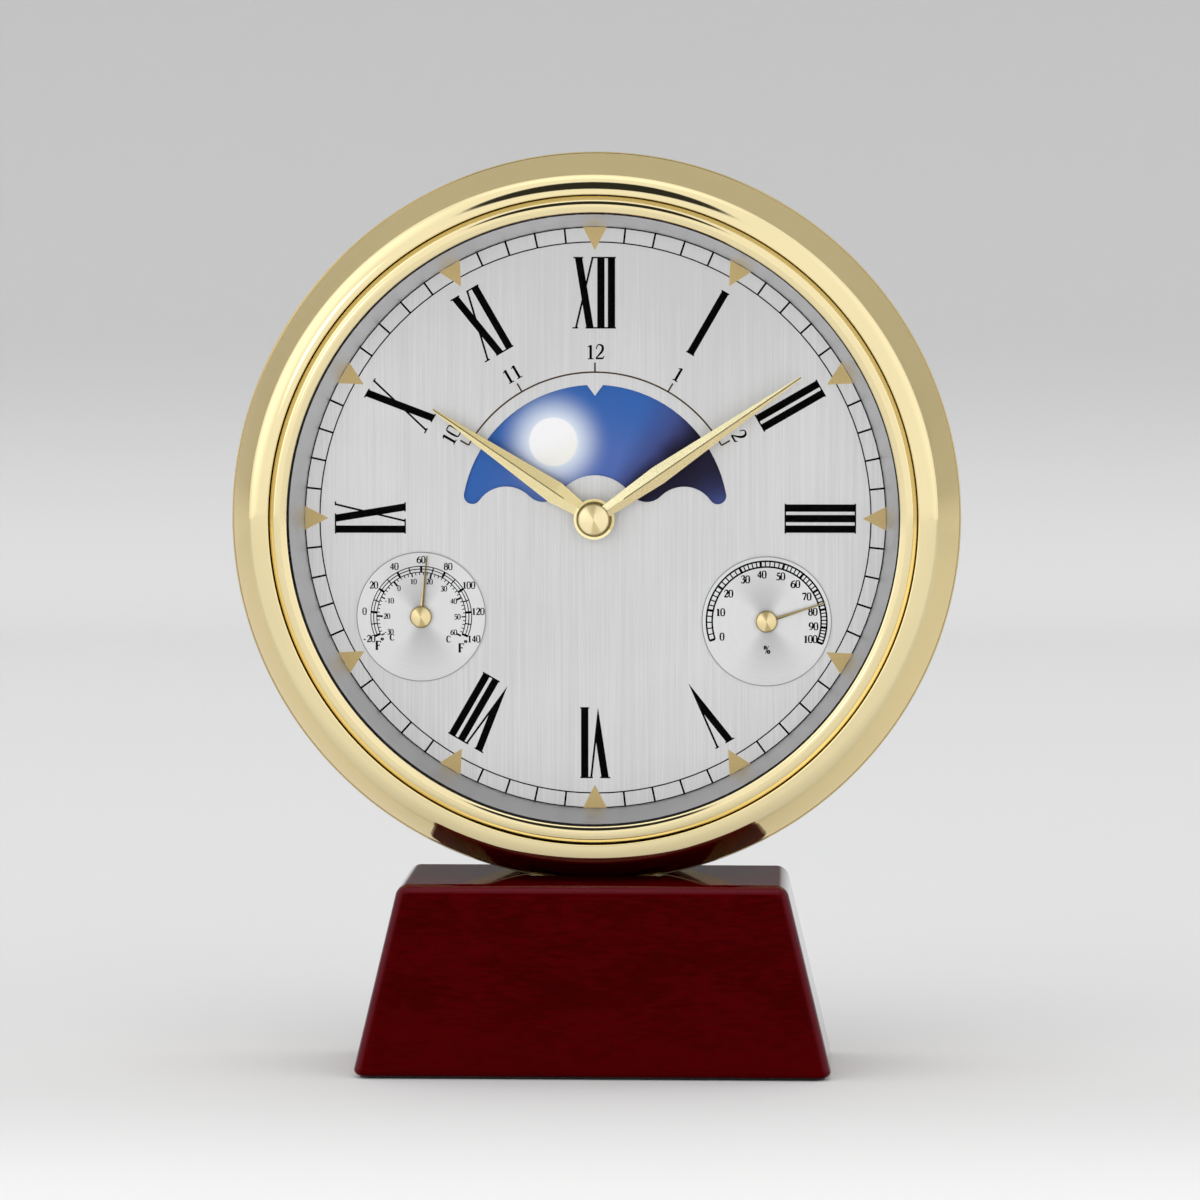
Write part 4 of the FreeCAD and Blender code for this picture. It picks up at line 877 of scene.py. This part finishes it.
pen = {"thick": 0.082, "thin": 0.034, "advance": 0.66, "width": 0.62, "order": 3, "steps": 4}
thick, thin = pen["thick"], pen["thin"]
oval = [(0.5, 0.0), (0.93, 0.0), (1.0, 0.5), (0.93, 1.0), (0.5, 1.0), (0.07, 1.0), (0.0, 0.5), (0.07, 0.0)]


def straight(*points):
    return "straight", points


def curved(*points):
    return "curved", points


def loop(x, z, wide, high):
    # a closed round, thick at its sides
    return "round", [(x + (a - 0.5) * wide, z + (b - 0.5) * high, thick if b == 0.5 else thin * 1.3)
                     for a, b in oval]


figures = {
    "0": [loop(0.31, 0.5, 0.50, 0.97)],
    "1": [straight((0.34, 0.0, thick), (0.34, 0.98, thick)),
          straight((0.34, 0.97, thin), (0.14, 0.85, thin)),
          straight((0.14, 0.02, thin), (0.54, 0.02, thin))],
    "2": [curved((0.07, 0.70, thin), (0.12, 0.98, thin), (0.34, 1.04, thin * 1.5), (0.56, 0.88, thick),
                 (0.50, 0.55, thick), (0.25, 0.28, thin * 1.5), (0.04, 0.05, thin)),
          straight((0.04, 0.05, thin * 1.8), (0.55, 0.05, thin * 1.8)),
          straight((0.55, 0.03, thin), (0.62, 0.22, thin))],
    "3": [curved((0.07, 0.78, thin), (0.18, 1.02, thin), (0.48, 1.02, thin * 1.6), (0.50, 0.72, thick),
                 (0.40, 0.56, thin), (0.22, 0.54, thin)),
          curved((0.22, 0.54, thin), (0.50, 0.54, thin * 1.5), (0.58, 0.26, thick),
                 (0.42, -0.02, thick * 0.8), (0.18, -0.02, thin), (0.04, 0.10, thin * 1.6))],
    "4": [straight((0.44, 0.98, thin), (0.03, 0.30, thin)),
          straight((0.03, 0.29, thin * 1.5), (0.60, 0.29, thin * 1.5)),
          straight((0.43, 0.0, thick * 0.9), (0.43, 0.98, thick * 0.9))],
    "5": [straight((0.20, 0.94, thin * 1.9), (0.57, 0.94, thin * 1.9)),
          straight((0.20, 0.96, thin), (0.13, 0.60, thin)),
          curved((0.12, 0.58, thin * 1.6), (0.36, 0.62, thick * 0.8), (0.58, 0.45, thick),
                 (0.54, 0.10, thick), (0.28, -0.04, thin), (0.05, 0.08, thin * 1.6))],
    "6": [curved((0.56, 0.97, thin), (0.28, 0.92, thin * 1.5), (0.08, 0.60, thick), (0.04, 0.20, thick),
                 (0.26, -0.04, thin), (0.52, 0.04, thick * 0.8), (0.58, 0.38, thick),
                 (0.44, 0.60, thin * 1.3), (0.24, 0.58, thin), (0.10, 0.44, thin))],
    "7": [straight((0.06, 0.94, thin * 1.9), (0.58, 0.94, thin * 1.9)),
          straight((0.07, 0.95, thin), (0.03, 0.78, thin)),
          straight((0.56, 0.94, thin * 1.6), (0.26, 0.0, thick * 0.8))],
    "8": [loop(0.31, 0.75, 0.36, 0.48), loop(0.31, 0.27, 0.46, 0.54)],
    "9": [curved((0.06, 0.03, thin), (0.34, 0.08, thin * 1.5), (0.54, 0.40, thick), (0.58, 0.80, thick),
                 (0.36, 1.04, thin), (0.10, 0.96, thick * 0.8), (0.04, 0.62, thick),
                 (0.18, 0.40, thin * 1.3), (0.38, 0.42, thin), (0.52, 0.56, thin))],
    "-": [straight((0.18, 0.36, thin * 1.6), (0.50, 0.36, thin * 1.6))],
    "F": [straight((0.22, 0.0, thick), (0.22, 0.98, thick)),
          straight((0.08, 0.96, thin), (0.66, 0.96, thin)),
          straight((0.66, 0.96, thin), (0.66, 0.78, thin)),
          straight((0.22, 0.50, thin), (0.50, 0.50, thin)),
          straight((0.50, 0.40, thin), (0.50, 0.60, thin)),
          straight((0.08, 0.02, thin), (0.38, 0.02, thin))],
    "C": [curved((0.60, 0.72, thin), (0.56, 0.94, thin), (0.34, 1.04, thin), (0.06, 0.86, thick),
                 (0.02, 0.50, thick), (0.06, 0.14, thick), (0.34, -0.04, thin), (0.56, 0.06, thin),
                 (0.62, 0.22, thin))],
    "o": [loop(0.20, 0.86, 0.26, 0.26)],
    "%": [loop(0.14, 0.76, 0.24, 0.40), loop(0.56, 0.22, 0.24, 0.40),
          straight((0.56, 0.98, thin), (0.16, 0.0, thin))],
}


def penLine(curve, way, points, shift):
    spline = curve.splines.new("POLY" if way == "straight" else "NURBS")
    spline.points.add(len(points) - 1)
    for point, (x, z, half) in zip(spline.points, points):
        point.co = (x + shift, 0, z, 1)
        point.radius = half
    if way != "straight":
        spline.order_u = pen["order"]
        spline.use_cyclic_u = way == "round"
        spline.use_endpoint_u = way != "round"
        spline.resolution_u = pen["steps"]


def figureText(word, height, x, z, bold):
    # a word of small figures, centred on x and z
    curve = bpy.data.curves.new("figures", "CURVE")
    curve.dimensions = "3D"
    curve.bevel_depth = bold
    curve.bevel_resolution = 1
    curve.use_fill_caps = True
    advance = pen["advance"]
    start = -(advance * (len(word) - 1) + pen["width"]) / 2
    for place, letter in enumerate(word):
        for way, points in figures[letter]:
            penLine(curve, way, points, start + place * advance)
    made = bpy.data.objects.new("figures", curve)
    bpy.context.collection.objects.link(made)
    select(made)
    bpy.ops.object.convert(target="MESH")
    made = bpy.context.object
    made.scale = (height * mm, inkThick / (2 * thick * bold) * mm, height * mm)
    made.location = (x * mm, 0, (z - height / 2) * mm)
    return settle(made)


# Scale above the moon: words holds each figure's angle

moonScale = {"radius": 31.9, "line": 0.36, "reach": 60.0, "tick": 2.1, "label": 36.3, "height": 3.1,
             "bold": 1.25, "words": {-60: "10", -30: "11", 0: "12", 30: "1", 60: "2"}}


def moonScalePrint():
    radius, length = moonScale["radius"], moonScale["tick"]
    arc = line(radius, moonScale["line"], -moonScale["reach"], 2 * moonScale["reach"], 2.0)
    tick = bar(moonScale["line"], length, 0, radius + length / 2)
    setOnDial([arc] + copies(tick, moonScale["words"]), "moon_scale", "ink_brown")
    labels = [turned(figureText(word, moonScale["height"], 0, moonScale["label"], moonScale["bold"]), angle)
              for angle, word in moonScale["words"].items()]
    setOnDial(labels, "moon_scale_figures", "ink_black")


moonScalePrint()


# Thermometer scale. Each inner mark has a length and a width; marks are signs with a height and a place

thermometer = {"outer": 11.05, "middle": 10.45, "inner": 9.75, "line": 0.20, "perDegree": 1.41, "zero": 60.0,
               "low": -20, "high": 140, "tick": 0.26, "longTick": 0.50, "over": 0.06,
               "words": 12.5, "height": 1.45, "bold": 1.7,
               "innerTicks": 9.65, "innerLow": -30, "innerHigh": 60, "innerTurn": 2.56, "innerZero": 14.85,
               "innerMarks": {20: (1.15, 0.42), 10: (0.80, 0.30), 2: (0.50, 0.20)},
               "innerWords": 7.9, "innerHeight": 1.1, "innerBold": 1.8,
               "marks": [("F", 1.95, -9.6, -6.3), ("F", 1.95, 8.6, -6.8), ("C", 1.35, -6.4, -4.5),
                         ("C", 1.35, 6.0, -4.9), ("o", 1.6, -8.4, -5.5), ("o", 1.6, 9.9, -6.0)]}


def scaleTick(width, low, high, angle):
    return turned(bar(width, high - low, 0, (high + low) / 2), angle)


def scaleFigure(number, height, radius, angle, bold):
    # an upright figure beside a scale
    angle = radians(angle)
    return figureText(str(number), height, radius * sin(angle), radius * cos(angle), bold)


def outerScale(scale):
    start, end = ((scale[limit] - scale["zero"]) * scale["perDegree"] for limit in ("low", "high"))
    made = [line(scale[edge], scale["line"], start, end - start) for edge in ("outer", "middle", "inner")]
    for degree in range(scale["low"], scale["high"] + 1, 10):
        angle = (degree - scale["zero"]) * scale["perDegree"]
        numbered = degree % 20 == 0
        made.append(scaleTick(scale["longTick" if numbered else "tick"],
                              scale["inner"] - scale["over"], scale["outer"] + scale["over"], angle))
        if numbered:
            made.append(scaleFigure(degree, scale["height"], scale["words"], angle, scale["bold"]))
    return made


def innerScale(scale):
    made = []
    edge, bold = scale["innerTicks"], scale["innerBold"]
    for degree in range(scale["innerLow"], scale["innerHigh"] + 1, 2):
        angle = (degree - scale["innerZero"]) * scale["innerTurn"]
        reach, wide = next(sizes for step, sizes in scale["innerMarks"].items() if degree % step == 0)
        made.append(scaleTick(wide, edge - reach, edge, angle))
        if degree % 10 == 0:
            made.append(scaleFigure(degree, scale["innerHeight"], scale["innerWords"], angle, bold))
    return made


def thermometerPrint():
    made = outerScale(thermometer) + innerScale(thermometer)
    made += [figureText(*mark, thermometer["innerBold"]) for mark in thermometer["marks"]]
    setOnDial(made, "thermometer_scale", "ink_black", plates["thermometer"], plateFace)


thermometerPrint()


# Hygrometer scale: turns holds the angle of each ten per cent

hygrometer = {"outer": 13.15, "inner": 11.9, "line": 0.36, "tick": 0.26, "longTick": 0.52, "between": 5,
              "words": 10.3, "height": 1.55, "bold": 1.9, "sign": 1.7, "signLow": -6.2, "signBold": 1.7,
              "turns": [-109, -79, -54, -27, -6, 17, 37.5, 58, 78, 96, 112]}


def hygrometerPrint():
    scale = hygrometer
    inner, outer, turns = scale["inner"], scale["outer"], scale["turns"]
    made = [line(radius, scale["line"], turns[0], turns[-1] - turns[0]) for radius in (outer, inner)]
    for tens, angle in enumerate(turns):
        made.append(scaleTick(scale["longTick"], inner, outer, angle))
        made.append(scaleFigure(tens * 10, scale["height"], scale["words"], angle, scale["bold"]))
        if tens + 1 < len(turns):
            step = (turns[tens + 1] - angle) / scale["between"]
            made += [scaleTick(scale["tick"], inner, outer, angle + step * part)
                     for part in range(1, scale["between"])]
    made.append(figureText("%", scale["sign"], 0, scale["signLow"], scale["signBold"]))
    setOnDial(made, "hygrometer_scale", "ink_black", plates["hygrometer"], plateFace)


hygrometerPrint()
print("instruments printed")


# Floor and backdrop in one sweep, in metres: the floor is paler towards the camera, the wall darker

sweepStage = {"front": -3.0, "back": 1.9, "half": 3.2, "height": 3.2, "bend": 0.45, "segments": 32,
              "near": (0.74, 0.74, 0.745), "pale": (0.88, 0.88, 0.88), "paleFrom": -0.03, "paleTo": -0.20,
              "wall": (0.54, 0.54, 0.545), "wallTo": 0.16}


def addStage():
    made = Finish(bpy.data.materials.new("backdrop"), "Principled BSDF")
    made.set(Roughness=0.9, Specular_IOR_Level=0.1)
    depth, up = made.split(made.place())[1:]
    ground = depth.ease(sweepStage["paleFrom"], sweepStage["paleTo"])
    ground = ground.blend(sweepStage["near"], sweepStage["pale"])
    made.set(Base_Color=up.ease(0.0, sweepStage["wallTo"]).blend(ground, sweepStage["wall"]))
    front, back = sweepStage["front"], sweepStage["back"]
    bpy.ops.object.select_all(action="DESELECT")
    bpy.ops.mesh.primitive_plane_add(size=1, location=(0, (front + back) / 2, 0))
    floor = bpy.context.object
    floor.name = "backdrop"
    floor.scale = (2 * sweepStage["half"], back - front, 1)
    settle(floor)
    for vertex in floor.data.vertices:
        vertex.select = vertex.co.y > back - mm
    pickedEdit(lambda: bpy.ops.mesh.extrude_region_move(
        TRANSFORM_OT_translate={"value": (0, 0, sweepStage["height"])}))
    for vertex in floor.data.vertices:
        vertex.select = vertex.co.y > back - mm and vertex.co.z < mm
    pickedEdit(lambda: bpy.ops.mesh.bevel(offset=sweepStage["bend"], segments=sweepStage["segments"]))
    bpy.ops.object.shade_smooth()
    floor.data.materials.append(bpy.data.materials["backdrop"])


addStage()


# Studio light: a bright room with soft panels and a dark gap above the camera.
# Each patch: how far right of the camera, how high, its inner and outer radius in degrees, its level

room = {"level": 1.12, "patches": [(-64, 26, 8, 38, 1.55), (-22, 11, 2, 7, 2.6), (70, 22, 8, 34, 1.25),
                                   (0, 82, 14, 30, 1.40), (-2, 31, 11.5, 14.0, 0.03)]}


def towards(right, high):
    right, high = radians(right), radians(high)
    return sin(right) * cos(high), -cos(right) * cos(high), sin(high)


def addLight():
    world = bpy.data.worlds.new("room")
    bpy.context.scene.world = world
    made = Finish(world, "Background")
    direction = made.node("TexCoord", {}, {}, "Generated")
    level = room["level"]
    for right, high, inner, outer, strength in room["patches"]:
        facing = made.node("VectorMath", {"operation": "DOT_PRODUCT"},
                           {0: direction, 1: towards(right, high)}, 1)
        mask = facing.ease(cos(radians(outer)), cos(radians(inner)))
        level = level + mask * (strength - level)
    made.set(Strength=level, Color=(1.0, 1.0, 1.0))


addLight()
bpy.context.scene.view_settings.view_transform = "Standard"
print("stage and light made")
